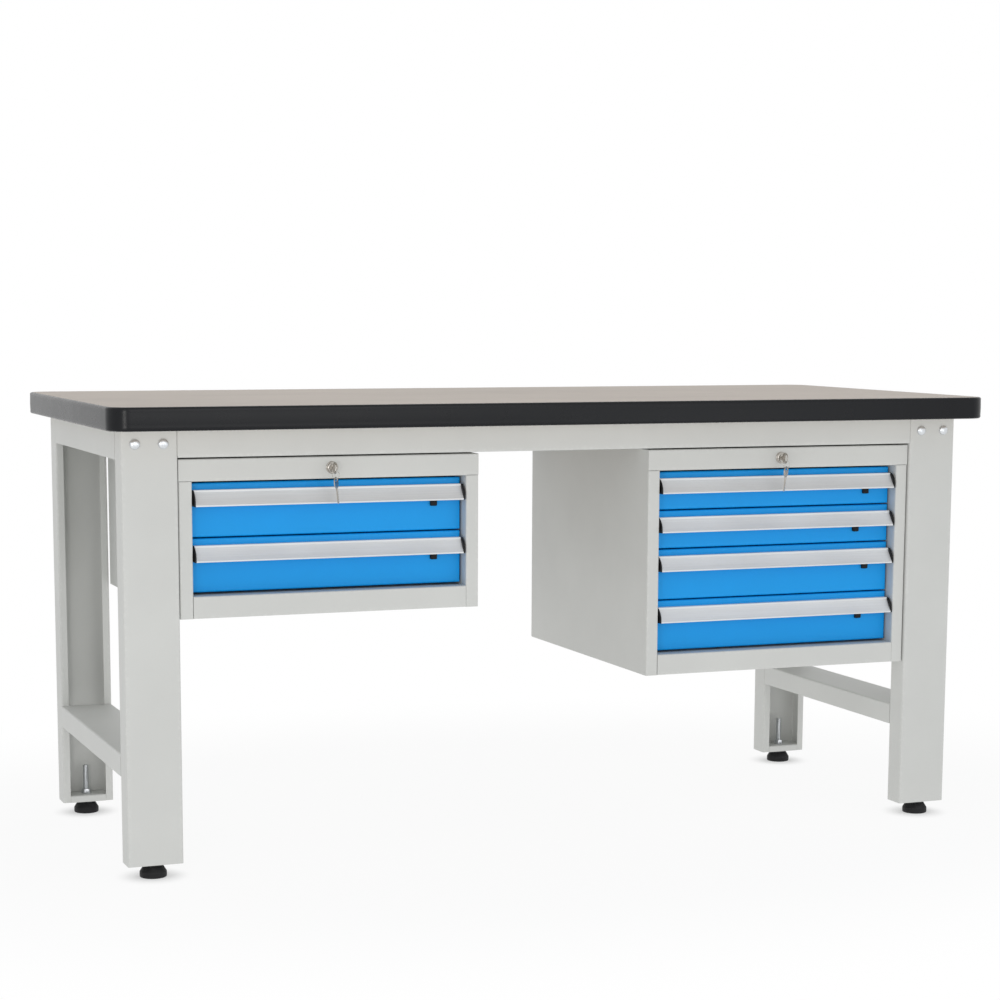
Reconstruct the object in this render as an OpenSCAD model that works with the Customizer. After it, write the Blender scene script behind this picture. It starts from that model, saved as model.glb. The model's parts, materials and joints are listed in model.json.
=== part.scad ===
// Workbench with two hanging drawer cabinets.
// Millimetres, +Z up. The origin is on the floor, midway along and across the worktop,
// +X runs to the right along the worktop and the drawers open towards -Y.

/* [Worktop] */
// Length of the worktop
top_w = 1800; // [1600:10:2400]
// Depth of the worktop
top_d = 800; // [740:10:1000]
// Thickness of the worktop
top_t = 43; // [30:1:60]
// Height of the working surface above the floor
work_h = 870; // [780:5:950]
// Width of the moulded edging around the board
edging_w = 6; // [4:0.5:12]
// Plan radius of the edging's corners
corner_r = 40; // [25:1:60]
// Radius of the edging's upper and lower rims
rim_r = 5; // [2:0.5:8]
// Thickness of the edging's spine
spine_t = 3; // [2:0.5:5]
// Depth of the edging's spine in the board
spine_d = 12; // [6:1:15]

/* [Frame] */
// Overhang of the worktop past the legs at each end
end_overhang = 34; // [10:1:90]
// Overhang of the worktop past the legs at front and rear
side_overhang = 72; // [0:1:100]
// Width of a leg
leg_w = 104; // [80:1:120]
// Depth of a leg
leg_d = 50; // [45:1:70]
// Width of the return lips along a leg's open side
leg_lip = 15; // [8:1:25]
// Height of the sill that closes the foot of a leg
leg_sill = 14; // [8:1:25]
// Height of a leg's lower end above the floor
leg_z = 25; // [24:1:50]
// Sheet thickness of the legs, rails and beams
frame_t = 2; // [1.5:0.5:3]
// Height of the beams
beam_h = 52; // [45:1:70]
// Height of the end rails
end_rail_h = 56; // [45:1:80]
// Height of the foot rails
foot_rail_h = 42; // [30:1:60]
// Height of the foot rails' upper face above the floor
foot_rail_z = 229; // [120:1:300]
// Gap between the end of a beam's tongue and the far side of the leg it enters
tongue_gap = 4; // [2:1:8]
// Thickness of that tongue
tongue_t = 3; // [2:0.5:5]
// Width of the cross bars that the cabinets hang from
cross_w = 40; // [30:1:60]
// Distance of a cross bar from its cabinet's middle
cross_x = 190; // [120:5:220]

/* [Levelling feet] */
// Diameter of a foot's pad
pad_dia = 51; // [40:1:60]
// Height of a foot's pad
pad_h = 21; // [14:1:22]
// Diameter of a foot's stud
stud_dia = 12; // [8:1:14]
// Length of a stud above its pad
stud_l = 78; // [50:1:120]

/* [Cabinets] */
// Width of a cabinet
cab_w = 582; // [500:1:620]
// Depth of a cabinet
cab_d = 600; // [400:5:640]
// Sheet thickness of the cabinets
cab_t = 1.5; // [1:0.5:2]
// Setback of the cabinets' fronts from the legs' fronts
cab_setback = 5; // [2:1:12]
// Gap between the beam and the cabinets' tops
cab_gap = 3; // [2:0.5:10]
// Gap between a cabinet and the leg beside it
leg_gap = 2; // [1:0.5:20]
// Height of the bar above the drawers
top_bar = 41; // [36:1:60]
// Height of the bar below the drawers
bottom_bar = 41; // [20:1:60]
// Width of the posts beside the drawers
post_w = 25; // [24:1:40]
// Depth of the sleeve around the drawer opening
sleeve_d = 62; // [56:1:80]
// Width of the uprights that carry the runners at the rear
upright_d = 60; // [40:1:80]

/* [Drawers] */
// Pitch of a low drawer
low_drawer = 77; // [72:1:90]
// Pitch of a tall drawer
tall_drawer = 102; // [80:1:120]
// Gap between two fronts
front_gap = 2.5; // [1:0.5:4]
// Gap between the first or the last front and the bar next to it
end_gap = 4.5; // [2:0.5:8]
// Gap between a front and the posts
side_gap = 3; // [2:0.5:5]
// Setback of the fronts from the cabinet's front face
front_setback = 25; // [20:1:28]
// Depth of a front's folded edges
front_d = 15; // [12:1:16]
// Sheet thickness of the fronts
front_t = 1.2; // [0.8:0.1:1.6]
// Radius of a front's upright edges
front_r = 4; // [2:0.5:6]
// Sheet thickness of the trays
tray_t = 1; // [0.8:0.1:2]
// Room behind the trays, where the lock bars run
rear_room = 40; // [34:1:60]
// Height of a tray's floor above its front's lower edge
tray_low = 5; // [3:0.5:8]
// Height of a front's upper edge above its tray's rim
tray_drop = 10; // [6:0.5:12]

/* [Runners] */
// Height of a runner
runner_h = 36; // [34:0.5:40]
// Thickness of a runner
runner_w = 12.7; // [12:0.1:14]
// Sheet thickness of the runner members
runner_t = 1.2; // [1:0.1:1.5]
// Height of a runner's middle above its tray's floor
runner_z = 28; // [24:1:34]
// Length by which a runner is shorter than its tray
runner_short = 2; // [0:1:40]
// Room for the balls between two runner members
ball_room = 1.6; // [1.2:0.1:1.8]

/* [Handles and latches] */
// Distance of a handle's upper edge below its front's upper edge
handle_drop = 12; // [8:0.5:18]
// Height of a handle
handle_h = 29.5; // [24:0.5:32]
// Distance a handle's lip stands out from the front
handle_out = 28.5; // [22:0.5:32]
// Depth of the ledge along a handle's upper edge
ledge_d = 12; // [8:0.5:16]
// Wall thickness of a handle
handle_t = 2; // [1.5:0.1:2.5]
// Thickness of a handle's end caps
cap_t = 3; // [2:0.5:5]
// Width of a latch's thumb tab
tab_w = 13; // [8:1:20]
// Length of a latch's thumb tab below the handle
tab_low = 12; // [5:1:14]
// Distance from a latch's tab, where its bolt is in the post, to the opening's side
latch_inset = 46; // [30:1:60]
// Sideways travel of a latch
latch_travel = 34; // [20:1:40]

/* [Locks and keys] */
// Diameter of a lock's rosette
lock_dia = 23; // [20:0.5:28]
// Diameter of a lock's body
barrel_dia = 18; // [15:0.5:19]
// Diameter of a lock's plug
plug_dia = 11; // [9:0.5:12]
// Diameter of the rod from the plug to the crank
rod_dia = 6; // [4:0.5:8]
// Throw of the crank at the rear of the rod
crank_r = 8; // [6:0.5:9]
// Width of a lock bar
bar_w = 26; // [24:1:40]
// Thickness of a lock bar
bar_t = 2; // [1.5:0.5:3]
// Thickness of a key
key_t = 1.8; // [1.2:0.1:2]
// Diameter of a key's bow
bow_dia = 22; // [20:0.5:24]
// Length of a key's blade
blade_l = 24; // [20:1:30]
// Mean radius of a key ring
ring_r = 7; // [6:0.5:8]
// Diameter of a key ring's wire
ring_wire = 1.4; // [1:0.1:1.6]

/* [Fasteners] */
// Diameter of the bolts
bolt_dia = 10; // [8:1:10]
// Diameter of the bolts' domed heads
head_dia = 19; // [16:0.5:20]
// Height of the bolts' domed heads
head_h = 5; // [4:0.5:6]
// Distance between a leg's two bolts
bolt_pitch = 52; // [40:1:56]
// Diameter of the worktop screws
screw_dia = 5; // [4:0.5:6]
// Depth of the worktop screws in the board
screw_in = 22; // [15:1:26]

/* [Hidden] */
$fn = 64;
hole_room = 0.5;
slide_room = 0.3;
seat = 0.01;
cut = 1;

half_w = top_w / 2;
half_d = top_d / 2;
board_w = top_w - 2 * edging_w;
board_d = top_d - 2 * edging_w;
board_r = corner_r - edging_w;
groove_r = max(board_r - spine_d, 1);

frame_top = work_h - top_t;
frame_x = half_w - end_overhang;
frame_y = half_d - side_overhang;
leg_x = frame_x - leg_w / 2;
leg_y = frame_y - leg_d / 2;
beam_l = 2 * (frame_x - leg_w);
plate_z = leg_z + leg_sill - frame_t;
beam_z = frame_top - beam_h;
rail_l = 2 * (frame_y - leg_d);
tongue_l = leg_w - frame_t - tongue_gap;
tongue_root = 60;
tongue_rim = 1;

bolt_z = frame_top - beam_h / 2;
bolt_r = bolt_dia / 2;
bolt_end = 3;
nut_h = 8;
nut_across = 1.6 * bolt_dia;
screw_pitch = 60;
stud_r = stud_dia / 2;
spacer_dia = 20;
spacer_h = cab_gap + frame_t;

cab_x = frame_x - leg_w - leg_gap - cab_w / 2;
cab_y = -frame_y + cab_setback;
cab_top = beam_z - cab_gap;
open_w = cab_w - 2 * post_w;
open_top = cab_top - top_bar;
hang_inset = leg_d - cab_setback + spacer_dia / 2 + 5;
hang_y = cab_d / 2 - hang_inset;

// Drawer pitches of the left and of the right cabinet, from the top down
PITCHES = [[tall_drawer, tall_drawer], [low_drawer, low_drawer, tall_drawer, tall_drawer]];
SIDES = ["left", "right"];
// How far each latch at rest stands back from the place where its bolt is in the post
LATCH_BACK = [[12, 12], [12, 33, 10, 23]];

function total(v, n) = n <= 0 ? 0 : v[n - 1] + total(v, n - 1);
function drawers(c) = len(PITCHES[c]);
function open_h(c) = total(PITCHES[c], drawers(c)) - front_gap + 2 * end_gap;
function cab_h(c) = top_bar + open_h(c) + bottom_bar;
function cab_z(c) = cab_top - cab_h(c);
function front_top(c, i) = open_top - end_gap - total(PITCHES[c], i - 1);
function front_h(c, i) = PITCHES[c][i - 1] - front_gap;
function front_low(c, i) = front_top(c, i) - front_h(c, i);
function tray_low_z(c, i) = front_low(c, i) + tray_low;
function tray_top_z(c, i) = front_top(c, i) - tray_drop;
function runner_mid(c, i) = tray_low_z(c, i) + runner_z;
function handle_top(c, i) = front_top(c, i) - handle_drop;
function latch_low(c, i) = handle_top(c, i) - latch_drop;

front_w = open_w - 2 * side_gap;
tray_w = open_w - 2 * runner_w;
tray_y = front_setback + front_d;
tray_end = cab_d - rear_room;
runner_l = tray_end - tray_y - runner_short;
middle_h = runner_h - 2 * (runner_t + ball_room);
inner_h = middle_h - 2 * (runner_t + ball_room);

// The handle's section: its nose, its lip, its slightly hollow face and its cap's bulging front
nose_h = 4;
groove_d = 0.5;
lip_h = 3;
lip_t = 2.6;
flange_h = 9;
hollow = 0.8;
bulge_foot = 4;
bulge_h = handle_h - bulge_foot;

// The latch's slide behind the front, and its neck and thumb tab
latch_drop = 22;
latch_h = 12;
latch_t = 2;
latch_tail = 20;
latch_y = front_t + slide_room;
latch_max = open_w / 2 - latch_inset;
latch_bite = 5;
latch_tip = latch_inset + latch_bite;
neck_w = 10;
neck_h = 6;
neck_room = 0.5;
tab_d = 6.5;

// The lock: its barrel, its plug, and the crank at the end of its rod
lock_z = open_top + top_bar / 2;
lock_proud = 3;
plug_proud = 2.6;
barrel_l = 22;
barrel_nut = 4;
plug_l = barrel_l + 1;
plug_room = 0.2;
crank_angle = 45;
crank_t = 3;
pin_dia = 4;
pin_x = crank_r * cos(crank_angle);
pin_z = lock_z - crank_r * sin(crank_angle);
crank_lift = 2 * crank_r * sin(crank_angle);

// The hooks on the trays, and the lock bar and its lugs behind them
hook_w = 22;
hook_y = tray_end + 9.5;
hook_h = crank_lift + 1;
bar_y = hook_y + 3;
crank_y = bar_y - 4 - crank_t;
bracket_w = 24;
bracket_t = 2;
bracket_y = crank_y - 12;
guide_t = 3;
guide_h = 8;
guide_room = 1.8;
slot_room = 0.6;
slot_h = pin_dia + 2 * slot_room;
lug_w = 16;
lug_t = 2.5;
lug_h = 3;
lug_room = 1.5;
lug_gap = 1.2;
prong_h = crank_lift + 1;

// The keys: the bow's place before the lock, the blade, and the eye for the ring
bow_gap = 4;
bow_y = -lock_proud - bow_gap - bow_dia / 2;
eye_y = bow_y - bow_dia / 4;
eye_l = 13;
eye_w = 5;
blade_w = 8;
blade_out = 8;
keyway_room = 0.1;

// The ring loops around the bow's rim beside the eye, and swings about the rim's middle
bow_edge = bow_dia * sqrt(3) / 4;
rim_w = bow_edge - eye_l / 2;
rim_z = lock_z - (bow_edge + eye_l / 2) / 2;
ring_room = 0.1;
ring_z = rim_z + norm([rim_w, key_t]) / 2 + ring_room + ring_wire / 2 - ring_r;

// ---------- shared shapes ----------

// A rectangle centred on the origin with round corners
module round_rect(w, d, r) {
    square([w - 2 * r, d], center = true);
    square([w, d - 2 * r], center = true);
    for (x = [-1, 1], y = [-1, 1])
        translate([x * (w / 2 - r), y * (d / 2 - r)])
            circle(r);
}

// A block centred in x
module mid_block(w, y0, y1, z0, z1) {
    translate([-w / 2, y0, z0])
        cube([w, y1 - y0, z1 - z0]);
}

// A bolt's domed head, seated on z = 0 and standing up
module dome(dia, h) {
    ball_r = (dia * dia / 4 + h * h) / (2 * h);
    rotate_extrude()
        intersection() {
            translate([0, h - ball_r])
                circle(ball_r);
            square([dia / 2, h]);
        }
}

// A bolt with its head on z = 0 and its shank going down
module bolt(dia, cap_dia, cap_h, shank) {
    dome(cap_dia, cap_h);
    translate([0, 0, -shank])
        cylinder(d = dia, h = shank + seat);
}

module nut(bore, across, h) {
    difference() {
        cylinder(d = across / cos(30), h = h, $fn = 6);
        translate([0, 0, -cut])
            cylinder(d = bore, h = h + 2 * cut);
    }
}

module at_cabinet(c) {
    translate([SIDES[c] == "left" ? -cab_x : cab_x, cab_y, 0])
        children();
}

// ---------- worktop ----------

module worktop_board() {
    color("tan")
        difference() {
            translate([0, 0, frame_top])
                linear_extrude(top_t)
                    round_rect(board_w, board_d, board_r);
            translate([0, 0, frame_top + (top_t - spine_t) / 2 - slide_room])
                linear_extrude(spine_t + 2 * slide_room)
                    difference() {
                        square([top_w, top_d], center = true);
                        round_rect(board_w - 2 * spine_d, board_d - 2 * spine_d, groove_r);
                    }
            screw_places()
                cylinder(d = screw_dia, h = screw_in);
        }
}

// Section of the edging: x outwards from the board's edge, y up
module edging_section() {
    intersection() {
        square([edging_w, top_t]);
        union() {
            translate([-rim_r, 0])
                square([edging_w, top_t]);
            translate([0, rim_r])
                square([edging_w, top_t - 2 * rim_r]);
            for (z = [rim_r, top_t - rim_r])
                translate([edging_w - rim_r, z])
                    circle(rim_r);
        }
    }
    translate([-(board_r - groove_r) + slide_room, (top_t - spine_t) / 2])
        square([board_r - groove_r, spine_t]);
}

module worktop_edging() {
    straight_x = board_w - 2 * board_r;
    straight_y = board_d - 2 * board_r;
    color("#2b2d31")
        translate([0, 0, frame_top])
            for (turn = [0, 180])
                rotate([0, 0, turn]) {
                    translate([straight_x / 2, straight_y / 2, 0])
                        edging_corner();
                    translate([-straight_x / 2, straight_y / 2, 0])
                        rotate([0, 0, 90])
                            edging_corner();
                    translate([straight_x / 2 + board_r, straight_y / 2, 0])
                        edging_run(straight_y);
                    translate([-straight_x / 2, straight_y / 2 + board_r, 0])
                        rotate([0, 0, 90])
                            edging_run(straight_x);
                }
}

module edging_corner() {
    rotate_extrude(angle = 90)
        translate([board_r, 0])
            edging_section();
}

// A straight stretch that ends at y = 0 and comes from -y
module edging_run(l) {
    rotate([90, 0, 0])
        linear_extrude(l)
            edging_section();
}

// ---------- frame ----------

// A left leg with its web on y = 0 and its open side towards +y
module leg() {
    inner_w = leg_w - 2 * frame_t;
    lip_open = leg_w - 2 * leg_lip;
    color("#cfd0cb")
        difference() {
            mid_block(leg_w, 0, leg_d, leg_z, frame_top);
            mid_block(inner_w, frame_t, leg_d - frame_t, leg_z + leg_sill, frame_top - frame_t);
            mid_block(inner_w, frame_t, leg_d - frame_t, leg_z - cut, plate_z);
            mid_block(lip_open, leg_d - frame_t - cut, leg_d + cut, leg_z + leg_sill, frame_top - frame_t);
            tongue_notch();
            for (x = [-1, 1])
                translate([x * bolt_pitch / 2, -cut, bolt_z])
                    rotate([-90, 0, 0])
                        cylinder(r = bolt_r + hole_room, h = frame_t + 2 * cut);
            translate([0, leg_d / 2, plate_z - cut])
                cylinder(r = stud_r + hole_room, h = frame_t + 2 * cut);
            for (x = [-1, 1])
                translate([x * screw_pitch / 2, leg_d / 2, frame_top - frame_t - cut])
                    cylinder(r = screw_dia / 2 + hole_room, h = frame_t + 2 * cut);
        }
}

// The slot in the leg's inner side that the beam's tongue goes through
module tongue_notch() {
    translate([leg_w / 2 - frame_t - cut, frame_t - slide_room, beam_z + frame_t])
        cube([frame_t + 2 * cut, tongue_t + 2 * slide_room, beam_h - 2 * frame_t]);
}

module place_leg(x, y) {
    translate([x * leg_x, y * frame_y, 0])
        scale([-x, -y, 1])
            children();
}

// An inverted channel as wide as a leg, from the front legs to the rear ones
module side_rail(x, z_top, h) {
    inner_w = leg_w - 2 * frame_t;
    color("#cfd0cb")
        translate([x * leg_x, 0, 0])
            difference() {
                mid_block(leg_w, -rail_l / 2, rail_l / 2, z_top - h, z_top);
                mid_block(inner_w, -rail_l / 2 - cut, rail_l / 2 + cut, z_top - h - cut, z_top - frame_t);
            }
}

// The front beam: a channel open to the rear, with a tongue into each leg
module beam() {
    rear_y = -frame_y + leg_d;
    color("#cfd0cb") {
        difference() {
            mid_block(beam_l, -frame_y, rear_y, beam_z, frame_top);
            mid_block(beam_l + 2 * cut, -frame_y + frame_t, rear_y + cut, beam_z + frame_t, frame_top - frame_t);
        }
        for (x = [-1, 1])
            tongue(x);
    }
}

module tongue(x) {
    y0 = -frame_y + frame_t;
    z0 = beam_z + frame_t + tongue_rim;
    h = beam_h - 2 * frame_t - 2 * tongue_rim;
    difference() {
        translate([x > 0 ? beam_l / 2 - tongue_root : -beam_l / 2 - tongue_l, y0 - seat, z0])
            cube([tongue_root + tongue_l, tongue_t + seat, h]);
        for (b = [-1, 1])
            translate([x * leg_x + b * bolt_pitch / 2, y0 - cut, bolt_z])
                rotate([-90, 0, 0])
                    cylinder(r = bolt_r + hole_room, h = tongue_t + 2 * cut);
        // The tongue's part inside the leg clears the leg's web
        translate([x > 0 ? beam_l / 2 : -beam_l / 2 - tongue_l - cut, y0 - cut, beam_z])
            cube([tongue_l + cut, cut, beam_h]);
    }
}

// Channels from beam to beam, standing on the beams' lower flanges clear of the tongues
module cross_bars() {
    reach = frame_y - frame_t - tongue_t - slide_room;
    z0 = beam_z + frame_t;
    z1 = frame_top - frame_t - slide_room;
    color("#cfd0cb")
        for (c = [0, 1], x = [-1, 1])
            translate([(SIDES[c] == "left" ? -cab_x : cab_x) + x * cross_x, 0, 0])
                difference() {
                    mid_block(cross_w, -reach, reach, z0, z1);
                    mid_block(cross_w - 2 * frame_t, -reach - cut, reach + cut, z0 + frame_t, z1 + cut);
                    for (y = [-1, 1])
                        translate([0, cab_y + cab_d / 2 + y * hang_y, z0 - cut])
                            cylinder(r = bolt_r + hole_room, h = frame_t + 2 * cut);
                }
}

// ---------- fasteners ----------

module screw_places() {
    for (x = [-1, 1], y = [-1, 1], s = [-1, 1])
        translate([x * leg_x + s * screw_pitch / 2, y * leg_y, frame_top])
            children();
}

module hang_places(c) {
    for (x = [-1, 1], y = [-1, 1])
        translate([x * cross_x, cab_d / 2 + y * hang_y, 0])
            children();
}

// A bolt through the leg's web and the beam's tongue, with its nut
module leg_bolts() {
    grip = frame_t + tongue_t;
    for (x = [-1, 1], y = [-1, 1], b = [-1, 1])
        translate([x * leg_x + b * bolt_pitch / 2, y * frame_y, bolt_z])
            rotate([-y * 90, 0, 0]) {
                bolt(bolt_dia, head_dia, head_h, grip + nut_h + bolt_end);
                translate([0, 0, -grip - nut_h])
                    nut(bolt_dia + 2 * slide_room, nut_across, nut_h);
            }
}

// A bolt through a cabinet's top, its spacer and the cross bar
module hang_bolts() {
    grip = cab_t + spacer_h + frame_t;
    for (c = [0, 1])
        at_cabinet(c)
            hang_places(c)
                translate([0, 0, cab_top - cab_t])
                    rotate([180, 0, 0]) {
                        bolt(bolt_dia, head_dia, head_h, grip + nut_h + bolt_end);
                        translate([0, 0, -grip - nut_h])
                            nut(bolt_dia + 2 * slide_room, nut_across, nut_h);
                        translate([0, 0, -cab_t - spacer_h])
                            spacer();
                    }
}

module spacer() {
    difference() {
        cylinder(d = spacer_dia, h = spacer_h);
        translate([0, 0, -cut])
            cylinder(r = bolt_r + hole_room, h = spacer_h + 2 * cut);
    }
}

module foot_nuts() {
    for (x = [-1, 1], y = [-1, 1])
        translate([x * leg_x, y * leg_y, plate_z + frame_t])
            nut(stud_dia + 2 * slide_room, 1.6 * stud_dia, nut_h + 2);
}

module fasteners() {
    color("#c9ccd0") {
        leg_bolts();
        hang_bolts();
        foot_nuts();
        screw_places()
            translate([0, 0, -frame_t])
                rotate([180, 0, 0])
                    bolt(screw_dia, 2 * screw_dia, 0.6 * screw_dia, screw_in + frame_t);
    }
}

// ---------- levelling feet ----------

module levelling_foot(x, y) {
    rim_h = 0.55 * pad_h;
    neck_r = 0.38 * pad_dia;
    translate([x * leg_x, y * leg_y, 0]) {
        color("#1d1e20")
            rotate_extrude()
                polygon([
                    [0, 0], [pad_dia / 2 - 1, 0], [pad_dia / 2, 1], [pad_dia / 2 - 1, rim_h],
                    [neck_r, pad_h], [0, pad_h]
                ]);
        color("#c9ccd0") {
            translate([0, 0, pad_h - seat])
                cylinder(r = stud_r, h = stud_l);
            translate([0, 0, pad_h - seat])
                cylinder(d = 1.7 * stud_dia, h = leg_z - slide_room - pad_h, $fn = 6);
        }
    }
}

// ---------- cabinets ----------

module cabinet(c) {
    z0 = cab_z(c);
    color("#d6d7d3")
        at_cabinet(c)
            difference() {
                union() {
                    cabinet_wrap(z0);
                    cabinet_front(c, z0);
                    rear_uprights(z0);
                    lock_guides(c);
                    rod_bracket();
                }
                lock_hole();
                hang_places(c)
                    translate([0, 0, cab_top - cab_t - cut])
                        cylinder(r = bolt_r + hole_room, h = cab_t + 2 * cut);
                for (i = [1 : drawers(c)])
                    latch_keeper(c, i);
                translate([0, bracket_y - cut, lock_z])
                    rotate([-90, 0, 0])
                        cylinder(r = rod_dia / 2 + slide_room, h = bracket_t + 2 * cut);
            }
}

// Sides, top, floor and back
module cabinet_wrap(z0) {
    difference() {
        mid_block(cab_w, 0, cab_d, z0, cab_top);
        mid_block(cab_w - 2 * cab_t, -cut, cab_d - cab_t, z0 + cab_t, cab_top - cab_t);
    }
}

// The frame around the drawer opening, with the sleeve that lines it
module cabinet_front(c, z0) {
    open_z = open_top - open_h(c);
    difference() {
        union() {
            mid_block(cab_w, 0, cab_t, z0, cab_top);
            mid_block(open_w + 2 * cab_t, 0, sleeve_d, open_z - cab_t, open_top + cab_t);
        }
        mid_block(open_w, -cut, sleeve_d + cut, open_z, open_top);
    }
}

// Angles at the rear of both sides that carry the fixed runners
module rear_uprights(z0) {
    y0 = tray_end - upright_d;
    for (x = [0, 1])
        mirror([x, 0, 0]) {
            translate([open_w / 2, y0, z0 + cab_t - seat])
                cube([cab_t, upright_d, cab_top - z0 - 2 * cab_t + 2 * seat]);
            translate([open_w / 2, y0, z0 + cab_t - seat])
                cube([post_w - cab_t + seat, cab_t, cab_top - z0 - 2 * cab_t + 2 * seat]);
        }
}

// Two guides on the back that the lock bar slides in
module lock_guides(c) {
    passage_w = bar_w + 2 * hole_room;
    upper_z = pin_z - pin_dia / 2 - guide_room - guide_h;
    lower_z = cab_z(c) + cab_t + 2.5 * guide_h;
    for (z = [upper_z, lower_z])
        difference() {
            mid_block(passage_w + 2 * guide_t, bar_y - guide_t, cab_d - cab_t + seat, z, z + guide_h);
            mid_block(passage_w, bar_y - slide_room, bar_y + bar_t + slide_room, z - cut, z + guide_h + cut);
        }
}

// The bracket under the top that carries the rear of the lock's rod
module rod_bracket() {
    mid_block(bracket_w, bracket_y, bracket_y + bracket_t, lock_z - rod_dia / 2 - 4, cab_top - cab_t + seat);
}

module lock_hole() {
    translate([0, -cut, lock_z])
        rotate([-90, 0, 0])
            cylinder(d = barrel_dia + 2 * slide_room, h = cab_t + 2 * cut);
}

// The opening in the right-hand post that a latch's bolt enters
module latch_keeper(c, i) {
    translate([open_w / 2 - cut, front_setback + latch_y - cut, latch_low(c, i) - cut])
        cube([cab_t + 2 * cut, latch_t + 2 * cut, latch_h + 2 * cut]);
}

// ---------- runners ----------

// A channel section for a member: x away from the tray, y up
module channel_section(x0, x1, h, web_at_tray) {
    difference() {
        translate([x0, -h / 2])
            square([x1 - x0, h]);
        translate([web_at_tray ? x0 + runner_t : x0 - cut, -h / 2 + runner_t])
            square([x1 - x0 - runner_t + cut, h - 2 * runner_t]);
    }
}

// A member on both sides of a drawer
module runner_pair(c, i, x0, x1, h, web_at_tray) {
    for (x = [0, 1])
        mirror([x, 0, 0])
            translate([tray_w / 2, tray_end, runner_mid(c, i)])
                rotate([90, 0, 0])
                    linear_extrude(runner_l)
                        channel_section(x0, x1, h, web_at_tray);
}

module fixed_runners() {
    color("#c9ccd0")
        for (c = [0, 1])
            at_cabinet(c)
                for (i = [1 : drawers(c)])
                    runner_pair(c, i, 1, runner_w, runner_h, false);
}

module middle_runners(c, i) {
    color("#b9bdc2")
        at_cabinet(c)
            runner_pair(c, i, 2, runner_w - runner_t - slide_room, middle_h, false);
}

// ---------- drawers ----------

module tray(c, i) {
    z0 = tray_low_z(c, i);
    z1 = tray_top_z(c, i);
    color("#2f8fdc")
        at_cabinet(c) {
            difference() {
                mid_block(tray_w, tray_y, tray_end, z0, z1);
                mid_block(tray_w - 2 * tray_t, tray_y + tray_t, tray_end - tray_t, z0 + tray_t, z1 + cut);
            }
            runner_pair(c, i, -seat, runner_w - 2 * runner_t - 1.8, inner_h, true);
            lock_hook(z1);
        }
}

// The hook on a tray's rear wall that the lock bar's lug holds
module lock_hook(z1) {
    mid_block(hook_w, tray_end - seat, hook_y, z1 - tray_t, z1);
    mid_block(hook_w, hook_y - tray_t, hook_y, z1 - tray_t - hook_h, z1);
}

// Plan of a front: the face on y = 0 with round upright edges
module front_plan(w, d, r) {
    translate([-w / 2, r])
        square([w, d - r]);
    translate([-w / 2 + r, 0])
        square([w - 2 * r, d]);
    for (x = [-1, 1])
        translate([x * (w / 2 - r), r])
            circle(r);
}

module front(c, i) {
    z0 = front_low(c, i);
    h = front_h(c, i);
    inner_r = max(front_r - front_t, 0.5);
    neck_z = latch_low(c, i) + (latch_h - neck_h) / 2;
    window_w = latch_travel + neck_w + 2 * neck_room;
    color("#2f8fdc")
        at_cabinet(c)
            translate([0, front_setback, 0])
                difference() {
                    translate([0, 0, z0])
                        linear_extrude(h)
                            front_plan(front_w, front_d, front_r);
                    translate([0, front_t, z0 + front_t])
                        linear_extrude(h - 2 * front_t)
                            front_plan(front_w - 2 * front_t, front_d, inner_r);
                    translate([latch_max - latch_travel - neck_w / 2 - neck_room, -cut, neck_z - neck_room])
                        cube([window_w, front_t + 2 * cut, neck_h + 2 * neck_room]);
                    translate([front_w / 2 - front_r - cut, front_t, latch_low(c, i) - neck_room])
                        cube([front_r + 2 * cut, latch_t + 2 * slide_room, latch_h + 2 * neck_room]);
                }
}

// Section of a handle: x out from the front's face, y up from its upper edge.
// A flange on the front, a ledge with a nose, a hollow face and a thick lip.
module handle_section() {
    top = [ledge_d - groove_d, -nose_h];
    low = [handle_out - groove_d, -handle_h + lip_h];
    span = norm(low - top);
    face_r = (span * span / 4 + hollow * hollow) / (2 * hollow);
    outward = [top.y - low.y, low.x - top.x] / span;
    centre = (top + low) / 2 + outward * (face_r - hollow);
    translate([0, -handle_t])
        square([ledge_d, handle_t]);
    translate([0, -flange_h])
        square([handle_t, flange_h]);
    translate([ledge_d - handle_t, -nose_h])
        square([handle_t, nose_h]);
    translate([handle_out - lip_t, -handle_h])
        square([lip_t, lip_h + seat]);
    intersection() {
        difference() {
            translate(centre)
                circle(face_r + handle_t, $fn = 96);
            translate(centre)
                circle(face_r, $fn = 96);
        }
        polygon([centre, centre + 2 * (top - centre), centre + 2 * (low - centre)]);
    }
}

// Outline of an end cap: the full wedge under a bulging front
module cap_section() {
    step = handle_out - ledge_d;
    bulge_r = (step * step + bulge_h * bulge_h) / (2 * step);
    intersection() {
        translate([0, -handle_h])
            square([handle_out, handle_h]);
        union() {
            translate([0, -handle_h])
                square([ledge_d, handle_h]);
            translate([0, -handle_h])
                square([handle_out, handle_h - bulge_h]);
            translate([handle_out - bulge_r, -bulge_h])
                circle(bulge_r, $fn = 96);
        }
    }
}

module handle(c, i) {
    at_cabinet(c)
        translate([0, front_setback, handle_top(c, i)]) {
            color("#c6c9cb")
                handle_run(front_w / 2 - cap_t, -front_w / 2 + cap_t)
                    handle_section();
            color("#1d1e20")
                for (x = [0, 1])
                    mirror([x, 0, 0])
                        handle_run(front_w / 2, front_w / 2 - cap_t)
                            cap_section();
        }
}

// Carries a section along x, from the right-hand end to the left-hand one
module handle_run(right, left) {
    translate([right, 0, 0])
        rotate([90, 0, -90])
            linear_extrude(right - left)
                children();
}

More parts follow.
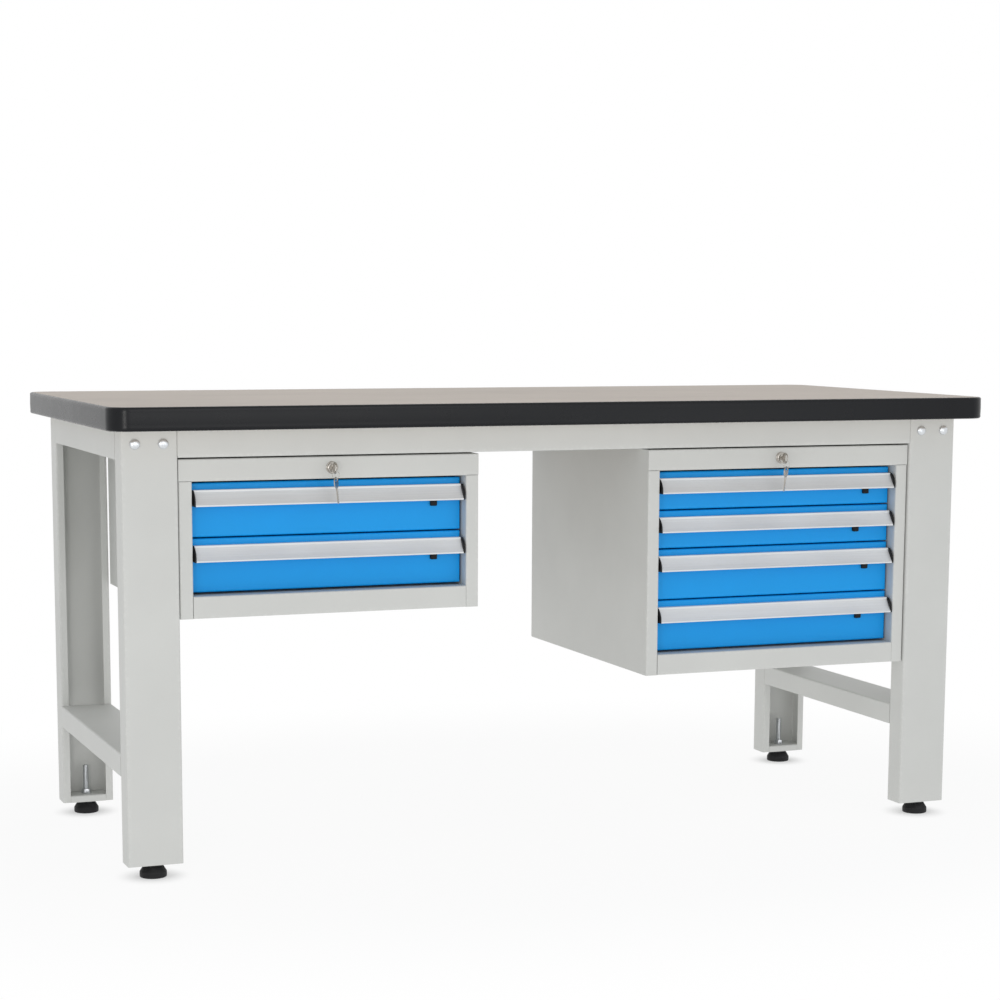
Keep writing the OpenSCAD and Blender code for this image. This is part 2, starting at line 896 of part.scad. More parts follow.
module latch(c, i) {
    x = latch_max - LATCH_BACK[c][i - 1];
    z = latch_low(c, i);
    neck_z = z + (latch_h - neck_h) / 2;
    tab_z = handle_top(c, i) - handle_h - tab_low;
    color("#1d1e20")
        at_cabinet(c)
            translate([x, front_setback, 0]) {
                translate([-latch_tail, latch_y, z])
                    cube([latch_tail + latch_tip, latch_t, latch_h]);
                mid_block(neck_w, -slide_room - seat, latch_y + seat, neck_z, neck_z + neck_h);
                mid_block(tab_w, -tab_d, -slide_room, tab_z, neck_z + neck_h + 1);
            }
}

// ---------- locks ----------

module along_lock(c, y) {
    at_cabinet(c)
        translate([0, y, lock_z])
            rotate([-90, 0, 0])
                children();
}

module lock_barrels() {
    color("#b5b7b9")
        for (c = [0, 1])
            along_lock(c, 0)
                difference() {
                    union() {
                        rotate([180, 0, 0])
                            dome(lock_dia, plug_proud - slide_room);
                        cylinder(d = barrel_dia, h = barrel_l);
                        translate([0, 0, cab_t])
                            cylinder(d = lock_dia / cos(30), h = barrel_nut, $fn = 6);
                    }
                    translate([0, 0, -lock_proud - cut])
                        cylinder(d = plug_dia + 2 * plug_room, h = barrel_l + lock_proud + 2 * cut);
                }
}

// The plug with its rod, and the crank whose pin lifts the lock bar
module lock_plug(c) {
    pin_y = crank_y + crank_t - seat;
    keyway_w = key_t + 2 * keyway_room;
    keyway_h = blade_w + 2 * keyway_room;
    color("#b5b7b9") {
        along_lock(c, 0)
            difference() {
                translate([0, 0, -plug_proud])
                    cylinder(d = plug_dia, h = plug_proud + plug_l);
                translate([-keyway_w / 2, -keyway_h / 2, -lock_proud - cut])
                    cube([keyway_w, keyway_h, blade_l - blade_out + cut + 1]);
            }
        along_lock(c, plug_l - seat)
            cylinder(d = rod_dia, h = crank_y + crank_t - plug_l);
        along_lock(c, crank_y)
            cylinder(r = crank_r + pin_dia / 2 + 1, h = crank_t);
        at_cabinet(c)
            translate([pin_x, pin_y, pin_z])
                rotate([-90, 0, 0])
                    cylinder(d = pin_dia, h = bar_y + bar_t + 2 - pin_y);
    }
}

// The flat bar that rises behind the trays' hooks
module lock_bar(c) {
    slot_l = crank_r - pin_x + pin_dia + 2 * slot_room;
    color("#b9bdc2")
        at_cabinet(c) {
            difference() {
                mid_block(bar_w, bar_y, bar_y + bar_t, cab_z(c) + cab_t + 4, pin_z + slot_h / 2 + 4);
                translate([pin_x - pin_dia / 2 - slot_room, bar_y - cut, pin_z - slot_h / 2])
                    cube([slot_l, bar_t + 2 * cut, slot_h]);
            }
            for (i = [1 : drawers(c)])
                lock_lug(tray_top_z(c, i) - tray_t - hook_h - lug_room);
        }
}

// A lug whose prong stands up just below a hook's lip
module lock_lug(z) {
    y0 = hook_y - tray_t - lug_gap - lug_t;
    mid_block(lug_w, y0, y0 + lug_t, z - prong_h - lug_h, z);
    mid_block(lug_w, y0, bar_y + seat, z - prong_h - lug_h, z - prong_h);
}

// ---------- keys ----------

// A key in the plane x = 0: its blade points to +y and its bow is centred on the origin.
// The eye is long enough for the ring to hang through it when the key lies flat.
module key_blank(shoulder, tip) {
    notch_w = 2;
    notch_d = 1.2;
    step = (tip - shoulder) / 5;
    difference() {
        union() {
            rotate([0, 90, 0])
                cylinder(d = bow_dia, h = key_t, center = true);
            translate([-key_t / 2, 0, -blade_w / 2])
                cube([key_t, tip, blade_w]);
        }
        translate([0, -bow_dia / 4, 0])
            cube([key_t + 2 * cut, eye_w, eye_l], center = true);
        for (k = [1 : 4])
            translate([-key_t / 2 - cut, shoulder + k * step, blade_w / 2 - notch_d - 0.5 * (k % 2)])
                cube([key_t + 2 * cut, notch_w, blade_w]);
    }
}

module key(c) {
    shoulder = bow_dia / 2 + bow_gap;
    color("#c9ccd0")
        at_cabinet(c)
            translate([0, bow_y, lock_z])
                key_blank(shoulder, shoulder + blade_l - blade_out);
}

// The ring that hangs through the eye of the key. It ends above the top drawer's front, which
// slides out under it.
module key_ring(c) {
    color("#c9ccd0")
        at_cabinet(c)
            translate([0, eye_y, ring_z])
                rotate([90, 0, 0])
                    rotate_extrude()
                        translate([ring_r, 0])
                            circle(d = ring_wire);
}

// ---------- the object ----------

worktop_board();
worktop_edging();
place_leg(-1, -1) leg();  // leg_front_left
place_leg(1, -1) leg();  // leg_front_right
place_leg(-1, 1) leg();  // leg_rear_left
place_leg(1, 1) leg();  // leg_rear_right
side_rail(-1, frame_top, end_rail_h);  // end_rail_left
side_rail(1, frame_top, end_rail_h);  // end_rail_right
side_rail(-1, foot_rail_z, foot_rail_h);  // foot_rail_left
side_rail(1, foot_rail_z, foot_rail_h);  // foot_rail_right
beam();  // front_beam
mirror([0, 1, 0]) beam();  // rear_beam
cross_bars();
fasteners();
levelling_foot(-1, -1);  // foot_front_left
levelling_foot(1, -1);  // foot_front_right
levelling_foot(-1, 1);  // foot_rear_left
levelling_foot(1, 1);  // foot_rear_right
fixed_runners();
lock_barrels();

for (c = [0, 1]) {
    cabinet(c);
    lock_plug(c);
    lock_bar(c);
    key(c);
    key_ring(c);
    for (i = [1 : drawers(c)]) {
        name = str(SIDES[c], "_drawer_", i);
        tray(c, i);
        front(c, i);
        handle(c, i);
        latch(c, i);
        middle_runners(c, i);
    }
}
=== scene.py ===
"""Looks of the workbench with two hanging drawer cabinets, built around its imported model.

Metres, +Z up, the drawers open towards -Y. Every shape is a grid or a carried profile.
"""
import json
import math

import bmesh
import bpy
import numpy as np
from mathutils import Matrix, Vector


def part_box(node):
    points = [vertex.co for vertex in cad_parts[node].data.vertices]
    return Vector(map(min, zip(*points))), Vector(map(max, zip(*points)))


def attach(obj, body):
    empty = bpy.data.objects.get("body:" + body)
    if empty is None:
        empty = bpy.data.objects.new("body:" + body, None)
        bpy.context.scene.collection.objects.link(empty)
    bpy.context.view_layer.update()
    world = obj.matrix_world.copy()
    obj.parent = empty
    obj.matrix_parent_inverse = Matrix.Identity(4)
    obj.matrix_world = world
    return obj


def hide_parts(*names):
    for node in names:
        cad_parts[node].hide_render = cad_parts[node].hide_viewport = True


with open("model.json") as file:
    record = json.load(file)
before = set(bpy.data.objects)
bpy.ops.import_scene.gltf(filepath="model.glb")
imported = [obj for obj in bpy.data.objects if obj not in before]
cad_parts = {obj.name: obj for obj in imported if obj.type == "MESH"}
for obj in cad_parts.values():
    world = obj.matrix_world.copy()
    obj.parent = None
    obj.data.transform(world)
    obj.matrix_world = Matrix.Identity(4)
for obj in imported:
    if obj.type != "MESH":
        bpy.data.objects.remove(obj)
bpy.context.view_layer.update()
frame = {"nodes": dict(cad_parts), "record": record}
NODES = frame["nodes"]
MM = 0.001

# ---------- camera ----------

EYE = (-1.782925, -4.512240, 1.050299)
YAW = 0.375261
PITCH = 0.145013
ROLL = 0.004291
LENS = 84.9667


def aim_camera():
    """A level camera turned from +Y towards +X by YAW, tipped down by PITCH, then rolled."""
    ahead = Vector((math.sin(YAW) * math.cos(PITCH), math.cos(YAW) * math.cos(PITCH), -math.sin(PITCH)))
    level = Vector((math.cos(YAW), -math.sin(YAW), 0))
    above = level.cross(ahead)
    right = level * math.cos(ROLL) + above * math.sin(ROLL)
    up = above * math.cos(ROLL) - level * math.sin(ROLL)
    data = bpy.data.cameras.new("camera")
    data.sensor_width = 36
    data.lens = LENS
    data.shift_y = 0.15
    data.clip_end = 100
    camera = bpy.data.objects.new("camera", data)
    turn = Matrix((right, up, -ahead)).transposed().to_4x4()
    camera.matrix_world = Matrix.Translation(EYE) @ turn
    bpy.context.scene.collection.objects.link(camera)
    bpy.context.scene.camera = camera


aim_camera()
bpy.context.scene.view_settings.view_transform = "Standard"


# ---------- shader expressions ----------

class Value:
    """A number or a vector on a socket. Sums and products of values add Math nodes."""

    def __init__(self, finish, socket):
        self.finish = finish
        self.socket = socket

    def math(self, operation, *others):
        return self.finish.node("ShaderNodeMath", {"operation": operation}, dict(enumerate((self, *others))))

    def __add__(self, other):
        return self.math("ADD", other)

    def __sub__(self, other):
        return self.math("SUBTRACT", other)

    def __rsub__(self, other):
        return self.finish.node("ShaderNodeMath", {"operation": "SUBTRACT"}, {0: other, 1: self})

    def __mul__(self, other):
        return self.math("MULTIPLY", other)

    __radd__ = __add__
    __rmul__ = __mul__

    def step(self, low, high):
        """0 below low, 1 above high and smooth between them."""
        settings = {"interpolation_type": "SMOOTHSTEP"}
        return self.finish.node("ShaderNodeMapRange", settings, {0: self, 1: low, 2: high})


class Finish:
    """A material whose nodes are added one by one around its Principled shader."""

    def __init__(self, name, **constants):
        self.material = bpy.data.materials.new(name)
        self.material.use_nodes = True
        self.tree = self.material.node_tree
        self.shader = self.tree.nodes["Principled BSDF"]
        self.place = self.node("ShaderNodeTexCoord", {}, {}, "Object")
        for socket, constant in constants.items():
            self.shader.inputs[socket.replace("_", " ")].default_value = constant

    def node(self, kind, settings, inputs, output=0):
        """A node of a kind, with its settings and its sockets' values or links; gives one output."""
        made = self.tree.nodes.new(kind)
        for name, setting in settings.items():
            setattr(made, name, setting)
        for key, given in inputs.items():
            if isinstance(given, Value):
                self.tree.links.new(given.socket, made.inputs[key])
            else:
                made.inputs[key].default_value = given
        return Value(self, made.outputs[output])

    def put(self, socket, given):
        self.tree.links.new(given.socket, self.shader.inputs[socket])

    def scaled(self, x, y, z):
        """The object's coordinates stretched along each axis."""
        return self.node("ShaderNodeMapping", {}, {0: self.place, 3: (x, y, z)})

    def noise(self, scale, detail=2.0, roughness=0.5, where=None):
        inputs = {"Vector": where or self.place, "Scale": scale, "Detail": detail, "Roughness": roughness}
        return self.node("ShaderNodeTexNoise", {}, inputs)

    def cells(self, scale):
        return self.node("ShaderNodeTexVoronoi", {}, {"Vector": self.place, "Scale": scale})

    def mark(self, name):
        """A number stored on the mesh's points."""
        return self.node("ShaderNodeAttribute", {"attribute_name": name}, {}, "Fac")

    def mix(self, amount, one, other):
        """One colour turning into another as the amount goes from 0 to 1."""
        return self.node("ShaderNodeMix", {"data_type": "RGBA"}, {0: amount, 6: one, 7: other}, 2)

    def bump(self, height, distance):
        self.put("Normal", self.node("ShaderNodeBump", {}, {"Height": height, "Distance": distance}))


def linear(red, green, blue):
    """A colour written from 0 to 255 as it looks, in the linear values that shaders use."""
    shares = [part / 255 for part in (red, green, blue)]
    return (*[s / 12.92 if s < 0.04045 else ((s + 0.055) / 1.055) ** 2.4 for s in shares], 1.0)


def lighter(colour, factor):
    return (*[min(1.0, part * factor) for part in colour[:3]], 1.0)


def powder_coat(name, colour, roughness, grain, peel, gloss=1.5):
    """Sprayed powder: fine orange peel, faint clouds, and thinner, smoother paint over the bends, painted
    lighter there in patches: partly wear, partly a painted highlight.
    """
    paint = Finish(name, IOR=gloss)
    clouds = paint.noise(5.0, 3.0, 0.6)
    specks = paint.noise(1400.0, 2.0, 0.7)
    orange_peel = paint.noise(620.0, 2.0, 0.55)
    edge = paint.mark("edge")
    shade = clouds * 0.55 + specks * 0.45
    body = paint.mix(shade.step(0.3, 0.7), lighter(colour, 0.965), lighter(colour, 1.035))
    wear_and_highlight_mask = edge * paint.noise(160.0, 3.0).step(0.42, 0.75)
    # Bends and rims painted lighter in patches: partly wear, partly a painted highlight along them.
    paint.put("Base Color", paint.mix(wear_and_highlight_mask * 0.35, body, lighter(colour, 1.16)))
    paint.put("Roughness", roughness + clouds * 0.06 - wear_and_highlight_mask * 0.1 + specks * 0.05)
    paint.bump(orange_peel + specks * grain, peel * MM)
    return paint.material


def laminate():
    """Hard laminate: a fine matt print of long faint flecks with a soft pebble texture."""
    colour = linear(196, 185, 174)
    board = Finish("worktop_laminate", IOR=1.45)
    flecks = board.noise(30.0, 6.0, 0.65, board.scaled(0.35, 5.0, 1.0))
    pores = board.noise(900.0, 2.0, 0.6)
    clouds = board.noise(2.4, 2.0, 0.5, board.scaled(0.6, 1.6, 1.0))
    tone = flecks * 0.5 + clouds * 0.3 + pores * 0.2
    board.put("Base Color", board.mix(tone.step(0.32, 0.68), lighter(colour, 0.86), lighter(colour, 1.1)))
    board.put("Roughness", 0.5 + pores * 0.12 - flecks * 0.06)
    board.bump(pores + flecks * 0.5, 0.05 * MM)
    return board.material


def moulded(name, colour, roughness, rim_lightening, grain_scale=900.0, depth=0.06):
    """Moulded plastic or rubber: a fine leathery grain, and rims a little lighter in patches: partly rubbed,
    partly a painted highlight.
    """
    skin = Finish(name, IOR=1.32)
    grain = skin.cells(grain_scale)
    clouds = skin.noise(14.0, 3.0, 0.6)
    dust = skin.noise(60.0, 4.0, 0.7)
    wear_and_highlight_mask = skin.mark("edge") * dust.step(0.35, 0.8)
    tone = skin.mix(clouds, lighter(colour, 0.8), lighter(colour, 1.25))
    # Rims painted lighter in patches: partly wear, partly a painted highlight.
    skin.put("Base Color", skin.mix(wear_and_highlight_mask * rim_lightening, tone, lighter(colour, 3.0)))
    skin.put("Roughness", roughness + clouds * 0.08 - 0.04 - wear_and_highlight_mask * 0.08)
    skin.bump(grain + dust * 0.6, depth * MM)
    return skin.material


def drawn_metal(name, colour, roughness, axis, depth, metallic):
    """Metal with fine lines along one axis, drawn or ground, a faint haze, and a painted highlight along its
    edges.
    """
    stretch = [700.0, 700.0, 700.0]
    stretch[axis] = 4.0
    metal = Finish(name, Metallic=metallic)
    lines = metal.noise(1.0, 3.0, 0.6, metal.scaled(*stretch))
    haze = metal.noise(7.0, 3.0, 0.5)
    edge = metal.mark("edge")
    tone = lines * 0.5 + haze * 0.5
    body = metal.mix(tone.step(0.3, 0.7), lighter(colour, 0.93), lighter(colour, 1.05))
    # Edges and bends painted lighter: a painted highlight.
    metal.put("Base Color", metal.mix(edge * 0.5, body, lighter(colour, 1.2)))
    metal.put("Roughness", roughness + lines * 0.1 - 0.05 - edge * 0.08)
    metal.bump(lines, depth * MM)
    return metal.material


def plated(name, colour, roughness, mottle):
    """Plated steel: a cloudy passivated film with tiny crystals that catch the light."""
    metal = Finish(name, Metallic=1.0)
    clouds = metal.noise(90.0, 4.0, 0.65)
    crystals = metal.cells(420.0)
    tone = clouds * 0.7 + crystals * 0.3
    film = metal.mix(tone.step(0.25, 0.75), lighter(colour, 1 - mottle), lighter(colour, 1 + mottle))
    metal.put("Base Color", film)
    metal.put("Roughness", roughness + clouds * 0.16 - 0.08)
    metal.bump(clouds + crystals * 0.3, 0.03 * MM)
    return metal.material


MATERIALS = {
    "worktop_laminate": laminate(),
    "black_edging": moulded("black_edging", linear(12, 14, 18), 0.28, 0.15, 700.0, 0.05),
    "grey_powder_coat": powder_coat("grey_powder_coat", linear(205, 206, 203), 0.46, 0.35, 0.035),
    "blue_paint": powder_coat("blue_paint", linear(4, 156, 234), 0.4, 0.25, 0.03, 1.36),
    "anodised_aluminium": drawn_metal("anodised_aluminium", linear(222, 224, 226), 0.48, 0, 0.012, 0.25),
    "black_plastic": moulded("black_plastic", linear(18, 18, 20), 0.5, 0.2),
    "black_rubber": moulded("black_rubber", linear(27, 27, 28), 0.6, 0.5, 500.0, 0.09),
    "zinc_steel": plated("zinc_steel", linear(216, 219, 222), 0.3, 0.08),
    "nickel_lock": plated("nickel_lock", linear(182, 178, 172), 0.24, 0.08),
}


# ---------- surfaces ----------

def place_of(node):
    """A node's lowest and highest corners as arrays."""
    low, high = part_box(node)
    return np.array(low), np.array(high)


class Shell:
    """One closed surface: points, faces and how much of an edge each point is."""

    def __init__(self, points, faces, edge=None):
        self.points = np.asarray(points, float).reshape(-1, 3)
        self.faces = faces
        self.edge = np.zeros(len(self.points)) if edge is None else np.asarray(edge, float)

    def moved(self, offset, turn=None):
        """A copy turned by a 3 by 3 matrix and then shifted."""
        points = self.points if turn is None else self.points @ np.asarray(turn, float).T
        return Shell(points + np.asarray(offset, float), self.faces, self.edge)


def loft(rings, edge=None, ends=True):
    """Rings of as many points each, joined in turn by quads, the first and last closed by a face."""
    rings = np.asarray(rings, float)
    count, around = rings.shape[:2]
    here = np.arange(around)
    ahead = np.roll(here, -1)
    base = (np.arange(count - 1) * around)[:, None]
    quads = np.stack([base + here, base + ahead, base + ahead + around, base + here + around], -1)
    faces = quads.reshape(-1, 4).tolist()
    if ends:
        faces += [here[::-1].tolist(), (here + (count - 1) * around).tolist()]
    marks = None if edge is None else np.repeat(np.asarray(edge, float), around)
    return Shell(rings, faces, marks)


def wheel(rings, edge=None):
    """Rings joined in turn, the last to the first again, as around a tyre."""
    rings = np.asarray(rings, float)
    count, around = rings.shape[:2]
    shell = loft(rings, edge, ends=False)
    here = np.arange(around)
    ahead = np.roll(here, -1)
    last = (count - 1) * around
    shell.faces += np.stack([last + here, last + ahead, ahead, here], -1).tolist()
    return shell


def piece(name, shells, slot, body, *nodes, angle=32):
    """Shells joined into one mesh that rides on a body and stands for CAD nodes."""
    starts = np.cumsum([0] + [len(s.points) for s in shells])
    points = np.concatenate([s.points for s in shells])
    faces = [[v + start for v in face] for s, start in zip(shells, starts) for face in s.faces]
    mesh = bpy.data.meshes.new(name)
    mesh.from_pydata(points.tolist(), [], faces)
    # The materials paint edges and bends lighter from these marks: partly wear, partly a painted highlight.
    edge = mesh.attributes.new("edge", "FLOAT", "POINT")
    edge.data.foreach_set("value", np.concatenate([s.edge for s in shells]).astype(np.float32))
    work = bmesh.new()
    work.from_mesh(mesh)
    bmesh.ops.recalc_face_normals(work, faces=work.faces)
    work.to_mesh(mesh)
    work.free()
    mesh.polygons.foreach_set("use_smooth", np.ones(len(mesh.polygons), bool))
    mesh.set_sharp_from_angle(angle=math.radians(angle))
    mesh.materials.append(MATERIALS[slot])
    thing = bpy.data.objects.new(name, mesh)
    bpy.context.scene.collection.objects.link(thing)
    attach(thing, body)
    if nodes:
        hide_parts(*nodes)


AXES = {"x": (1, 2, 0), "y": (0, 2, 1), "z": (0, 1, 2)}
GUARD = 0.006


def spread(flat, along, axis):
    """Points of a plane carried to each place along an axis: (places, points, 3)."""
    flat = np.asarray(flat, float)
    along = np.atleast_1d(np.asarray(along, float))
    made = np.zeros((len(along), len(flat), 3))
    across, upward, onward = AXES[axis]
    made[..., across] = flat[:, 0]
    made[..., upward] = flat[:, 1]
    made[..., onward] = along[:, None]
    return made


def layer(flat, place, axis):
    """Points of a plane carried to one place along an axis."""
    return spread(flat, place, axis)[0]


def run(outline, start, end, axis, ease=0.0):
    """A closed outline carried straight from start to end, its end rims eased by a small radius."""
    outline = np.asarray(outline, float)
    if ease == 0:
        return loft(spread(outline, [start, end], axis))
    small = shrunk(outline, ease)
    way = math.copysign(ease, end - start)
    rings = [layer(small, start, axis), layer(outline, start + way, axis)]
    rings += [layer(outline, end - way, axis), layer(small, end, axis)]
    return loft(rings, [1, 0, 0, 1])


def shrunk(outline, inset):
    """An outline drawn in along the mean of each point's two side normals."""
    after = np.roll(outline, -1, 0) - outline
    before = outline - np.roll(outline, 1, 0)
    normals = []
    for side in (before, after):
        length = np.linalg.norm(side, axis=1, keepdims=True)
        normals.append(np.stack([-side[:, 1], side[:, 0]], 1) / np.maximum(length, 1e-9))
    mean = normals[0] + normals[1]
    mean /= np.maximum(np.sum(mean * mean, 1, keepdims=True) / 2, 0.5)
    area = np.sum(outline[:, 0] * np.roll(outline[:, 1], -1) - outline[:, 1] * np.roll(outline[:, 0], -1))
    return outline + mean * inset * math.copysign(1, area)


def arc(centre, radius, start, end, count):
    """Points on a circle from one angle to another, in degrees."""
    angles = np.radians(np.linspace(start, end, count))
    return np.stack([centre[0] + radius * np.cos(angles), centre[1] + radius * np.sin(angles)], 1)


def rounded(width, height, radius, per=6, centre=(0, 0)):
    """A rectangle with round corners, per + 1 points on each, counter-clockwise."""
    a, b = width / 2 - radius, height / 2 - radius
    corners = [arc((centre[0] + x * a, centre[1] + y * b), radius, turn, turn + 90, per + 1)
               for x, y, turn in ((1, 1, 0), (-1, 1, 90), (-1, -1, 180), (1, -1, 270))]
    return np.concatenate(corners)


def mitred(path, shift):
    """A path moved to its left by a distance, its corners kept sharp."""
    path = np.asarray(path, float)
    way = np.diff(path, axis=0)
    way /= np.linalg.norm(way, axis=1, keepdims=True)
    left = np.stack([-way[:, 1], way[:, 0]], 1)
    before, after = left[:-1], left[1:]
    inner = (before + after) / (1 + np.sum(before * after, 1, keepdims=True))
    return path + shift * np.concatenate([left[:1], inner, left[-1:]])


def folded(path, thickness, radius, steps):
    """Middle line of a bent sheet whose outer face runs along path, its material to the left.

    Each corner becomes an arc of steps parts. Gives points, left normals and edge marks;
    unmarked points at GUARD from each bend keep the flats flat.
    """
    line = mitred(path, thickness / 2)
    middle = radius + thickness / 2
    points, normals, marks = [], [], []
    way = np.diff(line, axis=0)
    length = np.linalg.norm(way, axis=1)
    way /= length[:, None]
    angle = np.arctan2(way[:, 1], way[:, 0])
    reach = np.zeros(len(line))
    turns = (np.diff(angle) + np.pi) % (2 * np.pi) - np.pi
    reach[1:-1] = middle * np.tan(np.abs(turns) / 2)

    def add(point, heading, mark):
        points.append(point)
        normals.append((-math.sin(heading), math.cos(heading)))
        marks.append(mark)

    add(line[0], angle[0], 0.6)
    for k in range(len(way)):
        free = length[k] - reach[k] - reach[k + 1]
        inset = min(GUARD, free * 0.4)
        add(line[k] + way[k] * (reach[k] + inset), angle[k], 0)
        add(line[k + 1] - way[k] * (reach[k + 1] + inset), angle[k], 0)
        if k < len(way) - 1:
            sense = math.copysign(1, turns[k])
            start = line[k + 1] - way[k] * reach[k + 1]
            hub = start + middle * sense * np.array([-way[k][1], way[k][0]])
            for share in np.linspace(0, 1, steps + 1):
                heading = angle[k] + turns[k] * share
                spoke = np.array([math.sin(heading), -math.cos(heading)]) * middle * sense
                add(hub + spoke, heading, 1)
    add(line[-1], angle[-1], 0.6)
    return np.array(points), np.array(normals), np.array(marks)


def sheet(path, thickness, radius, start, end, axis, steps=4):
    """A sheet bent along a path and carried straight along an axis, closed at its ends."""
    middle, left, marks = folded(path, thickness, radius, steps)
    outer = middle - left * thickness / 2
    inner = middle + left * thickness / 2
    outline = np.concatenate([outer, inner[::-1]])
    count = len(middle)
    shell = loft(spread(outline, [start, end], axis), ends=False)
    here = np.arange(count - 1)
    far = 2 * count - 1 - here
    cap = np.stack([here, here + 1, far - 1, far], 1)
    shell.faces += cap[:, ::-1].tolist() + (cap + 2 * count).tolist()
    shell.edge = np.tile(np.concatenate([marks, marks[::-1]]), 2)
    return shell


def rectangle(low, high):
    """The corners, in turn, of a rectangle between two points of a plane."""
    return [low, (high[0], low[1]), high, (low[0], high[1])]


def plate(low, high, ease=0.0006):
    """A flat bar with eased edges between two corners."""
    low, high = np.minimum(low, high), np.maximum(low, high)
    size = high - low
    axis = int(np.argmin(size))
    across, upward = [k for k in range(3) if k != axis]
    centre = (low + high)[[across, upward]] / 2
    soft = min(ease, size.min() * 0.45)
    rings = []
    for inset, place in ((soft, 0), (0, soft), (0, size[axis] - soft), (soft, size[axis])):
        ring = rounded(size[across] - 2 * inset, size[upward] - 2 * inset, max(soft * 2 - inset, 1e-5), 2)
        rings.append(layer(ring + centre, low[axis] + place, "xyz"[axis]))
    return loft(rings, [1, 1, 1, 1])


def circled(radius, heights, around):
    """A row of points about the z axis for each height; the radius may vary along the row."""
    angles = np.linspace(0, 2 * np.pi, around, endpoint=False)
    x, y = radius * np.cos(angles), radius * np.sin(angles)
    return np.stack([x, y, np.broadcast_to(heights[:, None], x.shape)], -1)


def turned(profile, around, edge=None):
    """A profile of radius and height turned about the z axis, closed on it at both ends."""
    profile = np.asarray(profile, float)
    return loft(circled(profile[:, :1], profile[:, 1], around), edge)


def ring_turned(profile, around=48):
    """A closed profile of radius and height turned about the z axis into a ring."""
    profile = np.asarray(profile, float)
    return wheel(circled(profile[:, :1], profile[:, 1], around))


# Turns of a shape that stands on z: its top towards -y, +y, down, or kept
TO_FRONT = ((1, 0, 0), (0, 0, -1), (0, 1, 0))
TO_REAR = ((1, 0, 0), (0, 0, 1), (0, -1, 0))
DOWN = ((1, 0, 0), (0, -1, 0), (0, 0, -1))


# ---------- worktop ----------

def worktop():
    """The board keeps its CAD shape; the edging is a crowned section swept round it.

    At each point of the section the plan is a round rectangle grown by the section's reach.
    """
    low, high = place_of("worktop_board")
    rim_low, rim_high = place_of("worktop_edging")
    width, depth = (high - low)[:2]
    reach = (rim_high - rim_low)[0] / 2 - width / 2
    thick = (high - low)[2]
    corner, rim, crown = 0.034, 0.0045, 0.0006
    upper = arc((reach - rim, thick - rim), rim, 90, 12, 8)
    lower = arc((reach - rim, rim), rim, -12, -90, 8)
    share = np.linspace(0, 1, 9)[1:-1]
    face = np.stack([
        reach - crown * (1 - np.sin(np.pi * share)),
        upper[-1, 1] + (lower[0, 1] - upper[-1, 1]) * share,
    ], 1)
    seam = [(0.0004, thick - 0.0012), (0.0006, thick - 0.0001), (0.0012, thick)]
    inner = [(0.0012, 0.0), (0.0002, 0.0006), (-0.0004, thick / 2)]
    section = np.concatenate([seam, upper, face, lower, inner])
    rings = []
    for out, height in section:
        plan = rounded(width + 2 * out, depth + 2 * out, corner + out, 14)
        rings.append(layer(plan, low[2] + height, "z"))
    marks = np.concatenate([[0.4, 1, 1], np.full(8, 1.0), np.zeros(7), np.full(8, 0.8), [0.4, 0, 0]])
    edging = wheel(rings, marks)
    piece("worktop_edging_moulding", [edging], "black_edging", "bench", "worktop_edging", angle=50)


# ---------- frame ----------

SHEET = 0.002
BEND = 0.0016
LIP = 0.015
SILL = 0.014
HAIR = 0.0003  # between shells that would share a face
SLIT = 0.0004  # beside a folded edge
TONGUE_T = 0.003
TONGUE_RIM = 0.003
TONGUE_ROOT = 0.06
CROSS_W = 0.04
CROSS_X = 0.19


def leg(node):
    """A lipped channel with its web outwards, closed by a foot plate with a sill and a top plate."""
    low, high = place_of(node)
    x0, y0, z0 = low
    x1, y1, z1 = high
    web, back = (y0, y1) if "front" in node else (y1, y0)
    path = [(x0 + LIP, back), (x0, back), (x0, web), (x1, web), (x1, back), (x1 - LIP, back)]
    way = int(math.copysign(1, back - web))
    inner = SHEET + HAIR
    near, far, sill = web + way * inner, back - way * inner, z0 + SILL
    foot = [(near, sill), (back, sill), (back, z0)]
    shells = [
        sheet(path[::way], SHEET, BEND, z0 + SLIT, z1, "z", 5),
        sheet(foot[::-way], SHEET, 0.001, x0 + LIP + SLIT, x1 - LIP - SLIT, "x"),
    ]
    spans = ((x0 + inner, x0 + LIP, sill), (x1 - LIP, x1 - inner, sill), (x0 + inner, x1 - inner, z1))
    shells += [plate((left, near, top - SHEET), (right, far, top)) for left, right, top in spans]
    piece(node + "_sheet", shells, "grey_powder_coat", "bench", node)


def channel_rail(node):
    """An inverted channel from the front legs to the rear ones."""
    low, high = place_of(node)
    path = [(high[0], low[2]), (high[0], high[2]), (low[0], high[2]), (low[0], low[2])]
    shell = sheet(path, SHEET, BEND, low[1] + HAIR, high[1] - HAIR, "y", 5)
    piece(node + "_sheet", [shell], "grey_powder_coat", "bench", node)


def beam(node):
    """A channel open to the inside, and the flat tongue at each end that the bolts go through."""
    low, high = place_of(node)
    web, back = (low[1], high[1]) if node == "front_beam" else (high[1], low[1])
    way = int(math.copysign(1, back - web))
    x0 = place_of("leg_front_left")[1][0] + HAIR
    path = [(back, high[2]), (web, high[2]), (web, low[2]), (back, low[2])]
    shells = [sheet(path[::way], SHEET, BEND, x0, -x0, "x", 5)]
    tongue_y = web + way * SHEET
    for side in (-1, 1):
        near = (side * (abs(x0) - TONGUE_ROOT), tongue_y, low[2] + TONGUE_RIM)
        shells.append(plate(near, (side * high[0], tongue_y + way * TONGUE_T, high[2] - TONGUE_RIM)))
    piece(node + "_sheet", shells, "grey_powder_coat", "bench", node)


